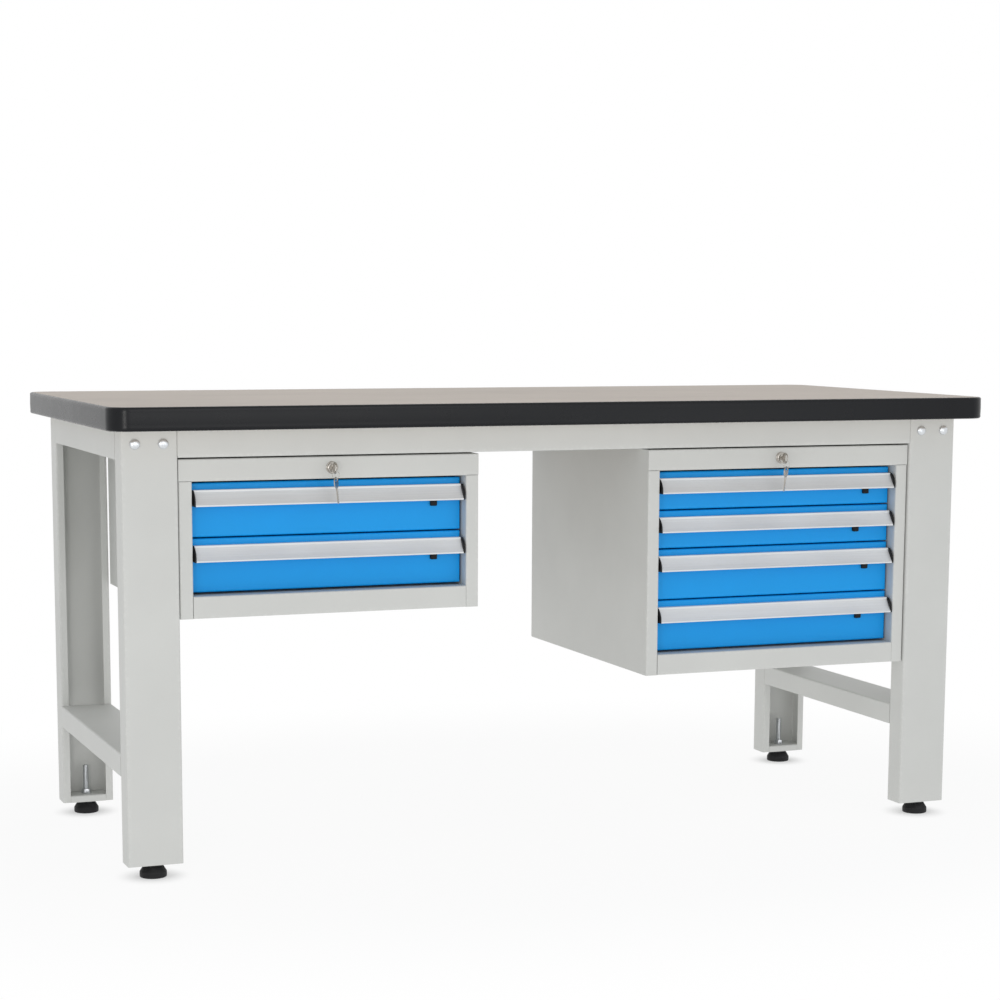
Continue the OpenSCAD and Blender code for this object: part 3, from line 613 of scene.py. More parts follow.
def cross_bars():
    """Channels open upwards that the cabinets hang from."""
    low, high = place_of("cross_bars")
    shells = []
    for middle in hang_lines():
        x0, x1 = middle - CROSS_W / 2, middle + CROSS_W / 2
        path = [(x0, high[2]), (x0, low[2]), (x1, low[2]), (x1, high[2])]
        shells.append(sheet(path, SHEET, BEND, low[1], high[1], "y"))
    piece("cross_bars_sheet", shells, "grey_powder_coat", "bench", "cross_bars")


def hang_lines():
    """Places along x of the four cross bars."""
    middles = []
    for side in ("left", "right"):
        middle = np.add(*place_of(side + "_cabinet"))[0] / 2
        middles += [middle - CROSS_X, middle + CROSS_X]
    return middles


# ---------- fasteners and feet ----------

def nut(across, height, bore):
    """A hexagon whose corners are cut by a chamfer cone at both ends, around a threaded hole."""
    around = 48
    flat, corner = across / 2, across / 2 / math.cos(math.pi / 6)
    chamfer = flat * 0.96
    profile = [(bore, 0.0), (chamfer, 0.0), (corner, (corner - chamfer) * 0.6)]
    profile = np.array(profile + [(r, height - z) for r, z in reversed(profile)])
    turn = np.linspace(0, 2 * np.pi, around, endpoint=False) % (np.pi / 3) - np.pi / 6
    radius = np.minimum(profile[:, :1], flat / np.cos(turn))
    return wheel(circled(radius, profile[:, 1], around), [0.4, 1, 1, 1, 1, 0.4])


def thread(radius, start, end, pitch=0.00175, depth=0.0006):
    """A screw thread: the radius falls by depth as height minus turn crosses each pitch."""
    around = 24
    heights = np.linspace(start, end, int((end - start) / pitch * 6))
    phase = (heights[:, None] / pitch - np.arange(around) / around) % 1
    wave = radius - depth * np.abs(2 * phase - 1)
    wave[0] = wave[-1] = radius - depth
    return loft(circled(wave, heights, around))


def domed_head(diameter, height):
    """A low round head with a small flat rim and a soft crown."""
    turn = np.linspace(0, 1, 9)[1:] * np.pi / 2
    crown = np.stack([diameter / 2 * np.cos(turn), height * (0.22 + 0.78 * np.sin(turn))], 1)
    crown[-1, 0] = 0.0001
    profile = np.concatenate([[(0.001, 0), (diameter / 2 - 0.0003, 0), (diameter / 2, 0.0003),
                               (diameter / 2, height * 0.2)], crown])
    marks = [0, 1, 1, 1] + [0.3] * 8
    return turned(profile, 40, marks)


HEAD_W = 0.019
HEAD_H = 0.005
BOLT_R = 0.005
BOLT_END = 0.003
NUT_W = 0.016
NUT_H = 0.008


def bolt_set(grip, washer):
    """A domed bolt whose head stands on z, with its thread, washer and nut below."""
    shells = [domed_head(HEAD_W, HEAD_H), thread(BOLT_R, -grip - NUT_H - BOLT_END, -0.0002, 0.0015)]
    shells.append(nut(NUT_W, NUT_H, BOLT_R - 0.0004).moved((0, 0, -grip - NUT_H)))
    if washer:
        ring = [(0.0052, 0), (0.0098, 0), (0.01, 0.0002)]
        ring += [(r, washer - z) for r, z in reversed(ring)]
        shells.append(ring_turned(ring).moved((0, 0, -grip + SHEET)))
    return shells


BOLT_PITCH = 0.052
SCREW_PITCH = 0.060
HANG_INSET = 0.060
HANG_GRIP = 0.0085
SPACER_H = 0.005
SCREW_R = 0.0025
SCREW_L = 0.023
FOOT_NUT = (0.0175, 0.01, 0.0064)


def pairs(middle, pitch):
    """Places along x of two fasteners on each leg."""
    return [side * middle + half for side in (-1, 1) for half in (-pitch / 2, pitch / 2)]


def fasteners():
    """Leg bolts, hanging bolts with their spacers, worktop screws and the feet's nuts."""
    leg_low, leg_high = place_of("leg_front_right")
    leg_x, leg_y = (leg_low + leg_high)[:2] / 2
    bolt_z = np.add(*place_of("front_beam"))[2] / 2
    cab_low, cab_high = place_of("left_cabinet")
    leg_set, hang_set = bolt_set(0.005, 0), bolt_set(HANG_GRIP, SPACER_H)
    screw_head = domed_head(4 * SCREW_R, 0.003).moved((0, 0, 0), DOWN)
    screw = [screw_head, thread(SCREW_R, 0, SCREW_L, 0.0018, 0.0005)]
    shells = []
    for x in pairs(leg_x, BOLT_PITCH):
        shells += [s.moved((x, leg_low[1], bolt_z), TO_FRONT) for s in leg_set]
        shells += [s.moved((x, -leg_low[1], bolt_z), TO_REAR) for s in leg_set]
    for x in hang_lines():
        for y in (cab_low[1] + HANG_INSET, cab_high[1] - HANG_INSET):
            shells += [s.moved((x, y, cab_high[2] - CAB_SHEET), DOWN) for s in hang_set]
    for y in (leg_y, -leg_y):
        for x in pairs(leg_x, SCREW_PITCH):
            shells += [s.moved((x, y, leg_high[2] - SHEET)) for s in screw]
        for x in (-leg_x, leg_x):
            shells.append(nut(*FOOT_NUT).moved((x, y, leg_low[2] + SILL)))
    piece("bolts_and_nuts", shells, "zinc_steel", "bench", "fasteners")


def levelling_foot(node):
    """A moulded pad with a ribbed band and a shoulder, on a threaded stud with a fixed nut.

    The band's radius swells and falls once for each rib.
    """
    low, high = place_of(node)
    middle = (low + high) / 2
    radius = (high - low)[0] / 2
    up = np.linspace(0.002, 0.0096, 25)
    band = np.stack([radius - 0.0006 + 0.0004 * np.abs(np.sin((up - 0.002) / 0.0076 * 3 * np.pi)), up], 1)
    shoulder = arc((radius - 0.0018, 0.0102), 0.0012, 10, 50, 4)
    crown = arc((radius - 0.0082, 0.0189), 0.0021, 50, 90, 5)
    profile = np.concatenate([
        [(0.001, 0), (radius - 0.0016, 0), (radius - 0.0007, 0.0006)], band, shoulder, crown,
        [(0.0105, 0.021), (0.0095, 0.0204), (0.001, 0.0204)]])
    marks = [0, 0.6, 1] + [0.25] * 25 + [1] * 4 + [0.9] * 5 + [0.3, 0, 0]
    pad = turned(profile, 56, marks).moved((middle[0], middle[1], 0))
    piece(node + "_pad", [pad], "black_rubber", node, node)
    stud = [thread(0.006, 0.0203, high[2] - 0.001), nut(0.0176, 0.0042, 0.0056).moved((0, 0, 0.0204))]
    tip = turned([(0.0001, 0.0), (0.0048, 0.0), (0.0054, -0.0008), (0.0054, -0.0016), (0.0001, -0.0016)], 24)
    stud.append(tip.moved((0, 0, high[2])))
    stud = [s.moved((middle[0], middle[1], 0)) for s in stud]
    piece(node + "_stud", stud, "zinc_steel", node, node)


# ---------- cabinets ----------

CAB_SHEET = 0.0015
CAB_BEND = 0.0012
POST = 0.025
TOP_BAR = 0.041
BOTTOM_BAR = 0.041
SLEEVE = 0.062
SEAM = 0.00015
CORNER = 0.010
REAR_ROOM = 0.040
GUIDE_T = 0.003
GUIDE_H = 0.008
CRANK = 0.008
BOLT_H = 0.012
LOCK_BAR_T = 0.002
LOOP_HALF = 0.0135
UPRIGHT_W = 0.06


def keeper_wall(side, near, wall_x, low_z, high_z):
    """The right sleeve wall behind its post: a strip with a slot for each drawer's bolt, then the rest."""
    far = near + 0.004
    tops = sorted(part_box(n)[1][2] for n in NODES if n.startswith(side + "_drawer") and n.endswith("_latch"))
    heights = [low_z] + [z for top in tops for z in (top - BOLT_H - 0.001, top + 0.001)] + [high_z]

    def slab(y0, y1, z0, z1):
        return run(rectangle((wall_x, y0), (wall_x + CAB_SHEET, y1)), z0, z1, "z")

    strips = [slab(near, far, *pair) for pair in zip(heights[::2], heights[1::2])]
    return strips + [slab(far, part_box(side + "_cabinet")[0][1] + SLEEVE, low_z, high_z)]


def cabinet(side):
    """Sides folded into posts and sleeve, a top folded over them, a bottom bar between, and the back."""
    node = side + "_cabinet"
    low, high = place_of(node)
    x0, y0, z0 = low
    x1, y1, z1 = high
    opening = (x0 + POST, x1 - POST, z0 + BOTTOM_BAR, z1 - TOP_BAR)
    shells = []
    for outer, inner in ((x0, opening[0]), (x1, opening[1])):
        path = [(outer, y0 + CORNER), (outer, y0), (inner, y0), (inner, y0 + SLEEVE)]
        if outer == x1:
            bolt_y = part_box(side + "_drawer_1_front")[0][1] + 0.0005
            path = [(inner, bolt_y)] + path[2::-1]
            shells += keeper_wall(side, bolt_y, inner, z0, opening[3] - SEAM)
        shells.append(sheet(path, CAB_SHEET, CAB_BEND, z0, opening[3] - SEAM, "z", 5))
        edge_x = outer + math.copysign(CAB_SHEET, inner - outer)
        behind = (y0 + CORNER, y1 - CAB_SHEET, z0)
        for near, far, low_z in (behind, (y0 + CAB_SHEET, y0 + CORNER, opening[3] + CAB_SHEET)):
            shells.append(run(rectangle((outer, near), (edge_x, far)), low_z, z1 - CAB_SHEET, "z"))
    over = [(y1 - CAB_SHEET, z1), (y0, z1), (y0, opening[3]), (y0 + CORNER, opening[3])]
    shells.append(sheet(over, CAB_SHEET, CAB_BEND, x0, x1, "x", 5))
    sleeve = rectangle((y0 + CORNER, opening[3]), (y0 + SLEEVE, opening[3] + CAB_SHEET))
    shells.append(run(sleeve, x0 + CAB_SHEET, x1 - CAB_SHEET, "x"))
    under = [(y0 + SLEEVE, opening[2]), (y0, opening[2]), (y0, z0), (y1 - CAB_SHEET, z0)]
    shells.append(sheet(under, CAB_SHEET, CAB_BEND, opening[0] + SEAM, opening[1] - SEAM, "x", 5))
    for outer, inner in ((x0, opening[0]), (x1, opening[1])):
        inset = math.copysign(CAB_SHEET, inner - outer)
        near = (outer + inset, y0 + CAB_SHEET, z0)
        shells.append(plate(near, (inner + inset, y1 - CAB_SHEET, z0 + CAB_SHEET)))
    shells.append(plate((x0, y1 - CAB_SHEET, z0), (x1, y1, z1)))
    shells += uprights(low, high) + guides(side, low, high)
    piece(node + "_sheet", shells, "grey_powder_coat", "bench", node)


def uprights(low, high):
    """Angles behind the posts that carry the runners' rear ends."""
    tray_end = high[1] - REAR_ROOM
    front = tray_end - UPRIGHT_W
    shells = []
    for post, way in ((low[0] + POST, -1), (high[0] - POST, 1)):
        path = [(post, tray_end), (post, front), (post + way * (POST - CAB_SHEET), front)]
        shells.append(sheet(path[::way], CAB_SHEET, CAB_BEND, low[2] + CAB_SHEET, high[2] - CAB_SHEET, "z"))
    return shells


def guides(side, low, high):
    """Loops on the back that the lock bar slides in, and the bracket for the lock's rod."""
    middle = (low[0] + high[0]) / 2
    back = high[1] - CAB_SHEET
    bar_front = bar_front_of(side)
    lock_z = high[2] - TOP_BAR / 2
    pin, room = 0.002, 0.0018
    upper = lock_z - CRANK * math.sin(math.radians(45)) - pin - room - GUIDE_H
    lower = low[2] + CAB_SHEET + 2.5 * GUIDE_H
    half = LOOP_HALF + GUIDE_T
    near = bar_front - GUIDE_T
    path = [(middle - half, back), (middle - half, near), (middle + half, near), (middle + half, back)]
    shells = [sheet(path, GUIDE_T - HAIR, 0.0008, z, z + GUIDE_H, "z") for z in (upper, lower)]
    bracket = near - 0.004 - 0.012
    corner = (middle + 0.012, bracket + 0.002, high[2] - CAB_SHEET)
    shells.append(plate((middle - 0.012, bracket, lock_z - 0.007), corner))
    return shells


def bar_front_of(side):
    """Front face of a lock bar, behind the trays' hooks."""
    return place_of(side + "_lock_bar")[1][1] - LOCK_BAR_T


# ---------- drawers ----------

def slotted(shell, around, outer, inner):
    """A slot through a wall, at a loft's last column, from its outer rings to its inner ones."""
    first = around - 2
    gone = [k * around + first for low, high in (outer, inner) for k in range(low, high)]
    faces = [face for n, face in enumerate(shell.faces) if n not in gone]
    for column in (first, first + 1):
        outside = [k * around + column for k in range(outer[0], outer[1] + 1)]
        inside = [k * around + column for k in range(inner[0], inner[1] + 1)]
        faces += [[outside[-1], inside[0], inside[1], outside[-2]], outside[:-1] + inside[1:]]
    for one, other in ((outer[1], inner[0]), (outer[0], inner[1])):
        here, there = one * around + first, other * around + first
        faces.append([here, here + 1, there + 1, there])
    return Shell(shell.points, faces, shell.edge)


def drawer_front(node, body):
    """A pressed pan whose outline grows out round its edge, with the bolt's slot in its right side."""
    low, high = place_of(node)
    middle = (low + high) / 2
    width, depth, height = high - low
    wall, bend = 0.0012, 0.0032
    turn = np.radians(np.linspace(90, 0, 7))
    rim = [(bend * (1 - math.cos(a)), bend * (1 - math.sin(a))) for a in turn]
    slot_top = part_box(node.replace("_front", "_latch"))[1][2] + 0.0005 - middle[2]
    steps = [(bend + 0.006, 0.0)] + rim + [(0, 0.004), (0, bend + 0.004), (0, depth)]
    steps += [(wall, depth), (wall, 0.004), (wall, bend), (bend + 0.004, wall)]
    rings, marks = [], [0] + [1] * 7 + [0.8, 0, 0.6, 0.6, 0, 0, 0]
    for inset, back in steps:
        ring = rounded(width - 2 * inset, height - 2 * inset, max(0.0016 - inset, 0.0004), 3)
        right = width / 2 - inset
        ring = np.vstack([ring, (right, slot_top - BOLT_H - 0.001), (right, slot_top)])
        rings.append(layer(ring + (middle[0], middle[2]), low[1] + back, "y"))
    pan = slotted(loft(rings, marks), len(ring), (4, 8), (12, 14))
    piece(node + "_pan", [pan], "blue_paint", body, node)


RUNNER_W = 0.0127
RUNNER_H = 0.036
RUNNER_T = 0.0012
RUNNER_Z = 0.028
HOOK_HALF = 0.011
HOOK_OUT = 0.0095
HOOK_DROP = 0.0123


def drawer_tray(node, body, side):
    """An open box: its rings go up the outside, over a rolled hem, and down to the floor inside."""
    low, high = place_of(node)
    cab_low, cab_high = place_of(side + "_cabinet")
    x0, x1 = cab_low[0] + POST + RUNNER_W, cab_high[0] - POST - RUNNER_W
    y0, y1 = low[1], cab_high[1] - REAR_ROOM
    z0, z1 = low[2], high[2]
    middle = ((x0 + x1) / 2, (y0 + y1) / 2)
    wall, hem = 0.001, 0.0022
    turn = np.radians(np.linspace(0, 180, 7))
    roll = [(math.cos(a) * hem / 2 - hem / 2, math.sin(a) * hem / 2) for a in turn]
    steps = [(0.008, z0), (0.0015, z0), (0.0004, z0 + 0.0005), (0, z0 + 0.0015), (0, z1 - hem / 2 - 0.004)]
    steps += [(-out, z1 - hem / 2 + up) for out, up in roll]
    steps += [(hem, z1 - 0.007), (wall, z1 - 0.0085), (wall, z0 + 0.0025)]
    steps += [(0.0015, z0 + 0.0014), (0.008, z0 + wall)]
    marks = [0, 0.5, 1, 0.5, 0] + [1] * 7 + [0.6, 0.3, 0, 0.5, 0]
    rings = []
    for inset, height in steps:
        plan = rounded(x1 - x0 - 2 * inset, y1 - y0 - 2 * inset, max(0.003 - inset, 0.001), 4, middle)
        rings.append(layer(plan, height, "z"))
    shells = [loft(rings, marks)]
    half = RUNNER_H / 2 - 2 * (RUNNER_T + 0.0016)
    below, above = z0 + RUNNER_Z - half, z0 + RUNNER_Z + half
    for edge, way in ((x0, -1), (x1, 1)):
        far = edge + way * (RUNNER_W - 2 * RUNNER_T - 0.0018)
        path = [(far, below), (edge, below), (edge, above), (far, above)][::-way]
        shells.append(sheet(path, RUNNER_T, 0.0008, y0 + 0.002, y1, "y"))
    hook_x = (x0 + x1) / 2
    hook = [(y1, z1), (y1 + HOOK_OUT, z1), (y1 + HOOK_OUT, z1 - wall - HOOK_DROP)]
    shells.append(sheet(hook[::-1], wall, 0.0006, hook_x - HOOK_HALF, hook_x + HOOK_HALF, "x"))
    piece(node + "_box", shells, "blue_paint", body, node)


LEDGE = 0.012
HANDLE_WALL = 0.002
NOSE = 0.004
LIP_H = 0.003
LIP_T = 0.0026
CAP = 0.003


def handle_outline(out, height):
    """The handle's section: flange, ledge, nose, hollow face and thick lip, x out and y up."""
    top = np.array([LEDGE - 0.0005, -NOSE])
    low = np.array([out - 0.0005, -height + LIP_H])
    span = np.linalg.norm(low - top)
    hollow = 0.0008
    face = (span * span / 4 + hollow * hollow) / (2 * hollow)
    outward = np.array([top[1] - low[1], low[0] - top[0]]) / span
    hub = (top + low) / 2 + outward * (face - hollow)
    spokes = [math.degrees(math.atan2(*(p - hub)[::-1])) for p in (top, low)]
    first, last = spokes[0] % 360, spokes[1] % 360
    shown = arc(hub, face, first, last, 18)
    hidden = arc(hub, face + HANDLE_WALL, last, first, 12)[1:-1]
    nose = arc((LEDGE - 0.0008, -0.0008), 0.0008, 90, 0, 5)
    lip = np.concatenate([
        arc((out - 0.0007, -height + LIP_H - 0.0006), 0.0007, 90, 0, 4),
        arc((out - 0.0008, -height + 0.0008), 0.0008, 0, -90, 5)])
    back = out - LIP_T
    inner_lip = [(back + 0.0004, -height), (back, -height + 0.0005), (back, -height + LIP_H - 0.0004)]
    rest = [(LEDGE - HANDLE_WALL, -NOSE + 0.0002), (LEDGE - HANDLE_WALL, -HANDLE_WALL),
            (HANDLE_WALL, -HANDLE_WALL), (HANDLE_WALL, -0.009), (0, -0.009), (0, 0)]
    groove = [(LEDGE, -NOSE + 0.0003), (LEDGE - 0.0005, -NOSE)]
    return np.concatenate([nose, groove, shown, lip, inner_lip, hidden, rest])


def cap_outline(out, height):
    """A handle's end cap: a full wedge with a bulging front, its corners rounded."""
    bulge = height - 0.004
    step = out - LEDGE
    radius = (step * step + bulge * bulge) / (2 * step)
    front = arc((out - radius, -bulge), radius, math.degrees(math.asin(bulge / radius)), 0, 14)
    foot = arc((out - 0.001, -height + 0.001), 0.001, 0, -90, 4)
    return np.concatenate([[(0.0, 0.0)], front, foot, [(0, -height)]])


def drawer_handle(node, body):
    """The drawn profile between its two moulded end caps."""
    low, high = place_of(node)
    out, height = (high - low)[1:]
    ease = 0.0005
    sections = (handle_outline, cap_outline)
    profile, cap = [high[1:] + outline(out, height) * (-1, 1) for outline in sections]
    drawn = [run(profile, low[0] + CAP, high[0] - CAP, "x")]
    caps = [run(cap, x, x + CAP, "x", ease) for x in (low[0], high[0] - CAP)]
    piece(node + "_profile", drawn, "anodised_aluminium", body, node, angle=28)
    piece(node + "_caps", caps, "black_plastic", body, node, angle=28)


TAB_W = 0.013
TAB_BACK = 0.051  # from the bolt's tip to the tab's middle
NECK_HALF = 0.005
NECK_H = 0.006
BOLT_FRONT = 0.0015
BOLT_REAR = 0.0035


def latch(node, body):
    """A thumb tab with grip ribs on its face, its neck, and the flat bolt behind the front."""
    low, high = place_of(node)
    front_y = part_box(node.replace("_latch", "_front"))[0][1]
    tab_x = high[0] - TAB_BACK
    bolt_z = high[2] - BOLT_H
    neck_z = bolt_z + 0.003
    shells = [plate((low[0], front_y + BOLT_FRONT, bolt_z), (high[0], front_y + BOLT_REAR, high[2]))]
    neck = (tab_x - NECK_HALF, front_y - HAIR, neck_z)
    shells.append(plate(neck, (tab_x + NECK_HALF, front_y + BOLT_FRONT, neck_z + NECK_H)))
    tab_top = neck_z + 0.007
    tab_z = (low[2] + tab_top) / 2
    tall = tab_top - low[2]
    rings, marks = [], []
    for inset, out in ((0.0, 0.0003), (0.0, 0.0048), (0.0004, 0.0058), (0.0012, 0.0064), (0.0024, 0.0065)):
        ring = rounded(TAB_W - 2 * inset, tall - 2 * inset, max(0.002 - inset, 0.0004), 4, (tab_x, tab_z))
        rings.append(layer(ring, front_y - out, "y"))
        marks.append(1.0 if out > 0.004 else 0.0)
    shells.append(loft(rings, marks))
    for k in range(3):
        z = low[2] + 0.0022 + k * 0.0022
        rib = rounded(0.008, 0.0009, 0.0004, 3, (tab_x, z))
        shells.append(loft([layer(rib, front_y - out, "y") for out in (0.006, 0.0069)], [0.5, 1]))
    piece(node + "_tab", shells, "black_plastic", body, node)


# ---------- locks and keys ----------

def lock_barrels():
    """A rosette with a rolled rim around the plug, the barrel behind it and its hexagon nut."""
    shells = []
    for side in ("left", "right"):
        low, high = place_of(side + "_cabinet")
        place = ((low[0] + high[0]) / 2, low[1], high[2] - TOP_BAR / 2)
        rim = arc((0.0103, 0.0010), 0.0012, 0, 90, 6)
        profile = np.concatenate([
            [(0.0057, -0.022), (0.009, -0.022), (0.009, 0.0), (0.0115, 0.0)], rim,
            [(0.0094, 0.0017), (0.0084, 0.0015), (0.0072, 0.0021), (0.0062, 0.0023), (0.0057, 0.0018)]])
        shells.append(ring_turned(profile, 56).moved(place, TO_FRONT))
        back = nut(*LOCK_NUT).moved((0, 0, -0.0055))
        shells.append(back.moved(place, TO_FRONT))
    piece("lock_rosettes", shells, "nickel_lock", "bench", "lock_barrels")


LOCK_NUT = (0.023, 0.004, 0.0088)
KEY_T = 0.0018
BOW = 0.011
SHOULDER = BOW + 0.004
BLADE = 0.016
SPARE_BLADE = 0.024


def key_shells(blade):
    """A key in the plane x = 0: the bow is the ring between its rim and its eye, then the blade.

    The blade's upper edge dips at each notch, and a groove is milled along both sides.
    """
    per = 16
    rim = arc((0, 0), BOW, 0, 360, 4 * per + 1)[:-1]
    eye = rounded(0.005, 0.013, 0.0018, per - 1, (-BOW / 2, 0))
    start = np.argmin(np.abs(np.arctan2(rim[:, 1], rim[:, 0]) - 0.02))
    eye_angle = np.arctan2(eye[:, 1], eye[:, 0] + BOW / 2)
    eye = np.roll(eye, -np.argmin(np.abs(eye_angle - 0.02)), 0)
    rim = np.roll(rim, -start, 0)
    half = KEY_T / 2
    rings = []
    worn, milled = half - 0.0004, half - 0.0003
    for outline, inset, x in ((rim, 0.0005, half), (eye, -0.0004, half), (eye, 0, milled), (eye, 0, -milled),
                              (eye, -0.0004, -half), (rim, 0.0005, -half), (rim, 0, -worn), (rim, 0, worn)):
        rings.append(layer(shrunk(outline, inset), x, "x"))
    shells = [wheel(rings, [1, 0.6, 1, 1, 0.6, 1, 1, 1])]
    tip = SHOULDER + blade
    along = np.linspace(BOW * 0.8, tip, 64)
    cut = np.zeros(64)
    step = (tip - SHOULDER) / 5
    for k in range(1, 5):
        notch = np.clip(1.4 - np.abs(along - SHOULDER - k * step) / 0.0012, 0, 1)
        cut = np.maximum(cut, (0.0012 + 0.0005 * (k % 2)) * notch)
    neck = np.where(along < SHOULDER, 0.0042, 0.004)
    taper = np.clip((tip - along) / 0.003, 0.25, 1)
    upper = neck * taper - cut
    lower = -neck * taper
    groove = half * 0.45
    side = [(0, milled), (0.2, half), (0.42, half), (0.46, groove)]
    side += [(0.56, groove), (0.6, half), (0.85, half), (1, milled)]
    around = side + [(share, -x) for share, x in reversed(side)]
    grid = [np.stack([np.full(64, x), along, lower + (upper - lower) * share], 1) for share, x in around]
    shells.append(loft(np.swapaxes(np.array(grid), 0, 1)))
    return shells


def tube(points, radius, around=10):
    """A round wire along a line of points: circles across the line's own direction."""
    points = np.asarray(points, float)
    way = np.gradient(points, axis=0)
    way /= np.linalg.norm(way, axis=1, keepdims=True)
    side = np.cross(way, (0.0, 1.0, 0.0))
    side /= np.linalg.norm(side, axis=1, keepdims=True)
    other = np.cross(way, side)
    angles = np.linspace(0, 2 * np.pi, around, endpoint=False)[None, :, None]
    ring = points[:, None] + radius * (np.cos(angles) * side[:, None] + np.sin(angles) * other[:, None])
    return loft(ring)


def keys(side):
    """The key in the lock, the split ring through its eye and the spare key hanging from it."""
    low, high = place_of(side + "_key")
    middle = (low[0] + high[0]) / 2
    bow_y = low[1] + BOW
    lock_z = (low[2] + high[2]) / 2
    in_lock = [s.moved((middle, bow_y, lock_z)) for s in key_shells(BLADE)]
    piece(side + "_key_milled", in_lock, "nickel_lock", side + "_lock", side + "_key")
    ring = side + "_key_ring"
    ring_low, ring_high = place_of(ring)
    hub = (ring_low + ring_high) / 2
    wire = (ring_high - ring_low)[1] / 2
    radius = (ring_high - ring_low)[0] / 2 - wire
    turn = np.linspace(0, 4 * np.pi, 97)
    shift = np.clip((turn - 1.7 * np.pi) / (0.6 * np.pi), 0, 1) - 0.5
    helix = np.stack([radius * np.sin(turn), shift * wire * 0.96, radius * np.cos(turn)], 1)
    piece(side + "_split_ring", [tube(hub + helix, wire * 0.48)], "nickel_lock", ring, ring)
    sway, twist = (6, -38) if side == "left" else (-6, -50)
    hang = Matrix.Rotation(math.radians(-sway), 3, "Y") @ Matrix.Rotation(math.radians(twist), 3, "Z")
    hang = np.array(hang @ Matrix.Rotation(-math.pi / 2, 3, "X"))
    eye = np.array((middle, hub[1], ring_low[2] + 2 * wire - 0.0025))
    spare = [s.moved(eye + hang @ (0, BOW / 2, 0), hang) for s in key_shells(SPARE_BLADE)]
    piece(side + "_spare_key", spare, "nickel_lock", ring)


# ---------- stage ----------

def stage():
    """A pale floor that keeps the shadows near the bench and fades into the white around it."""
    size = 60.0
    mesh = bpy.data.meshes.new("floor")
    mesh.from_pydata([(x, y, 0) for y in (-size, size) for x in (-size, size)], [], [[0, 1, 3, 2]])
    floor = bpy.data.objects.new("floor", mesh)
    bpy.context.scene.collection.objects.link(floor)
    finish = Finish("floor", Roughness=0.9)
    finish.shader.inputs["Specular IOR Level"].default_value = 0.0
    finish.shader.inputs["Base Color"].default_value = (0.93, 0.93, 0.93, 1)

    def measured(operation, inputs):
        return finish.node("ShaderNodeVectorMath", {"operation": operation}, inputs, "Value")

    far = measured("LENGTH", {0: finish.scaled(1.0, 1.4, 1.0)})
    paleness = far.step(1.0, 2.0) * 0.1 + 0.12
    corner = np.abs(np.add(*place_of("foot_front_right")) / 2)
    for turn in ((-1, -1, 0), (-1, 1, 0), (1, -1, 0), (1, 1, 0)):
        apart = measured("DISTANCE", {0: finish.place, 1: corner * turn})
        paleness = paleness - (1 - apart.step(0.02, 0.075)) * 0.5
    glow = finish.node("ShaderNodeEmission", {}, {"Color": (1, 1, 1, 1), "Strength": 1.0})
    seen = finish.node("ShaderNodeLightPath", {}, {}, "Is Camera Ray")
    shown = Value(finish, finish.shader.outputs[0])
    blend = finish.node("ShaderNodeMixShader", {}, {0: paleness * seen + 0.78, 1: shown, 2: glow})
    finish.tree.links.new(blend.socket, finish.tree.nodes["Material Output"].inputs[0])
    mesh.materials.append(finish.material)


def lamp(name, place, target, size, power, colour):
    """A square soft lamp that looks at a point."""
    data = bpy.data.lights.new(name, "AREA")
    data.shape = "RECTANGLE"
    data.size, data.size_y = size
    data.energy = power
    data.color = colour
    light = bpy.data.objects.new(name, data)
    light.location = place
    light.rotation_euler = (Vector(target) - Vector(place)).to_track_quat("-Z", "Y").to_euler()
    bpy.context.scene.collection.objects.link(light)


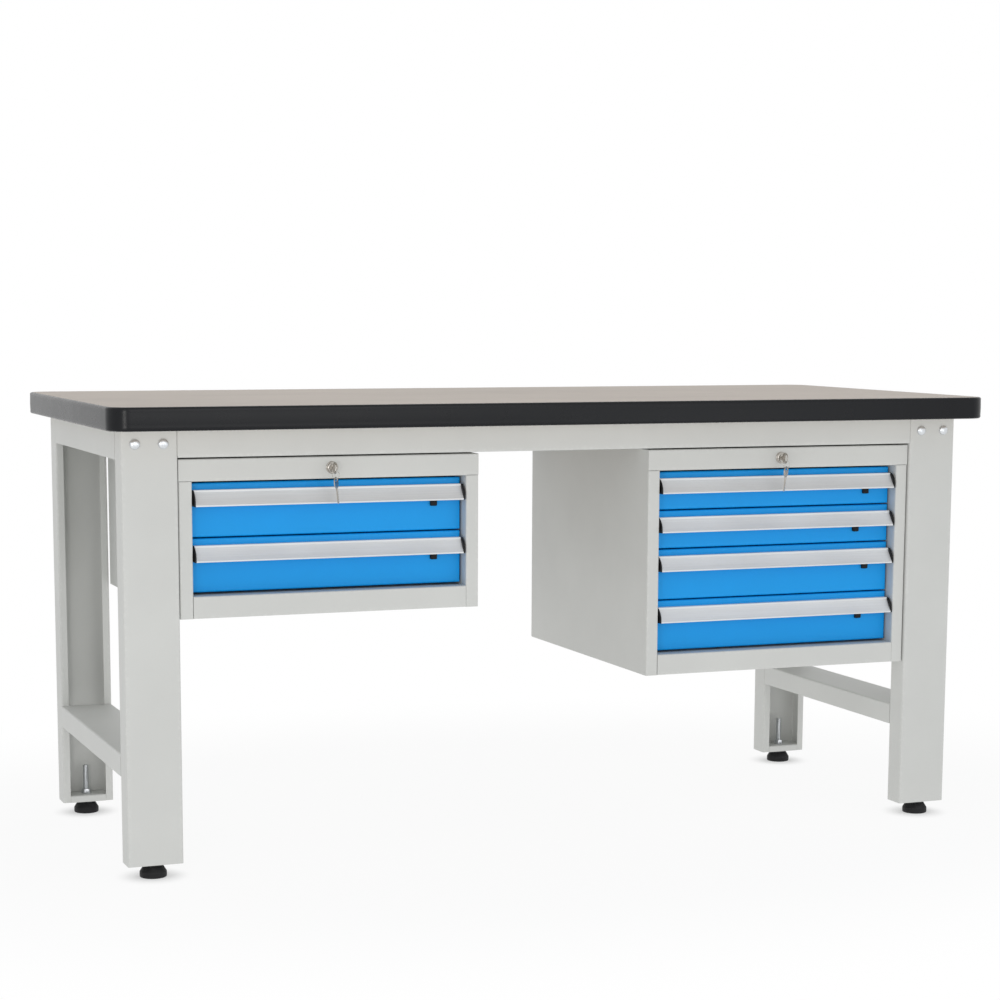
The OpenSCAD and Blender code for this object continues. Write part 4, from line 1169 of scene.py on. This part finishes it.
def studio():
    """Level grey light all round, white where the camera or a reflection looks past the bench."""
    world = bpy.data.worlds.new("studio")
    bpy.context.scene.world = world
    world.use_nodes = True
    nodes, link = world.node_tree.nodes, world.node_tree.links.new
    nodes.clear()
    rays = nodes.new("ShaderNodeLightPath")
    soft, white = nodes.new("ShaderNodeBackground"), nodes.new("ShaderNodeBackground")
    soft.inputs["Color"].default_value = (0.98, 0.99, 1.0, 1)
    soft.inputs["Strength"].default_value = 0.68
    white.inputs["Strength"].default_value = 1.0
    white.inputs["Color"].default_value = (1, 1, 1, 1)
    seen = rays.outputs["Is Camera Ray"]
    for name in ("Is Glossy Ray", "Is Transmission Ray"):
        most = nodes.new("ShaderNodeMath")
        most.operation = "MAXIMUM"
        link(seen, most.inputs[0])
        link(rays.outputs[name], most.inputs[1])
        seen = most.outputs[0]
    blend, output = nodes.new("ShaderNodeMixShader"), nodes.new("ShaderNodeOutputWorld")
    for socket, source in zip(blend.inputs, (seen, soft.outputs[0], white.outputs[0])):
        link(source, socket)
    link(blend.outputs[0], output.inputs[0])
    lamp("front_lamp", (0.0, -3.9, 1.1), (0, 0, 0.5), (2.2, 1.4), 12, (1.0, 1.0, 1.0))
    lamp("low_lamp", (-2.6, -2.2, 0.35), (0.4, 0, 0.45), (1.6, 0.5), 0.5, (1.0, 0.9, 0.8))
    lamp("strip_lamp", (-1.96, -2.67, 0.75), (-0.9, -0.4, 0.85), (0.3, 0.4), 7, (1.0, 0.98, 0.95))
    lamp("right_lamp", (1.75, -3.3, 0.55), (0.45, 0, 0.5), (1.1, 1.0), 3, (0.94, 0.98, 1.0))


# ---------- the bench ----------

worktop()
for leg_node in [n for n in NODES if n.startswith("leg_")]:
    leg(leg_node)
for rail_node in [n for n in NODES if "_rail_" in n]:
    channel_rail(rail_node)
beam("front_beam")
beam("rear_beam")
cross_bars()
fasteners()
for foot_node in [n for n in NODES if n.startswith("foot_") and "rail" not in n]:
    levelling_foot(foot_node)
lock_barrels()
for side_name in ("left", "right"):
    cabinet(side_name)
    keys(side_name)
for tray_node in [n for n in NODES if n.endswith("_tray")]:
    drawer = tray_node[:-len("_tray")]
    drawer_tray(tray_node, drawer, tray_node.split("_")[0])
    drawer_front(drawer + "_front", drawer)
    drawer_handle(drawer + "_handle", drawer)
    latch(drawer + "_latch", drawer + "_latch")

for entry in frame["record"]["subparts"]:
    shown_node = NODES[entry["node"]]
    if not shown_node.hide_render:
        shown_node.data.materials.clear()
        shown_node.data.materials.append(MATERIALS[entry["material_slot"]])

stage()
studio()
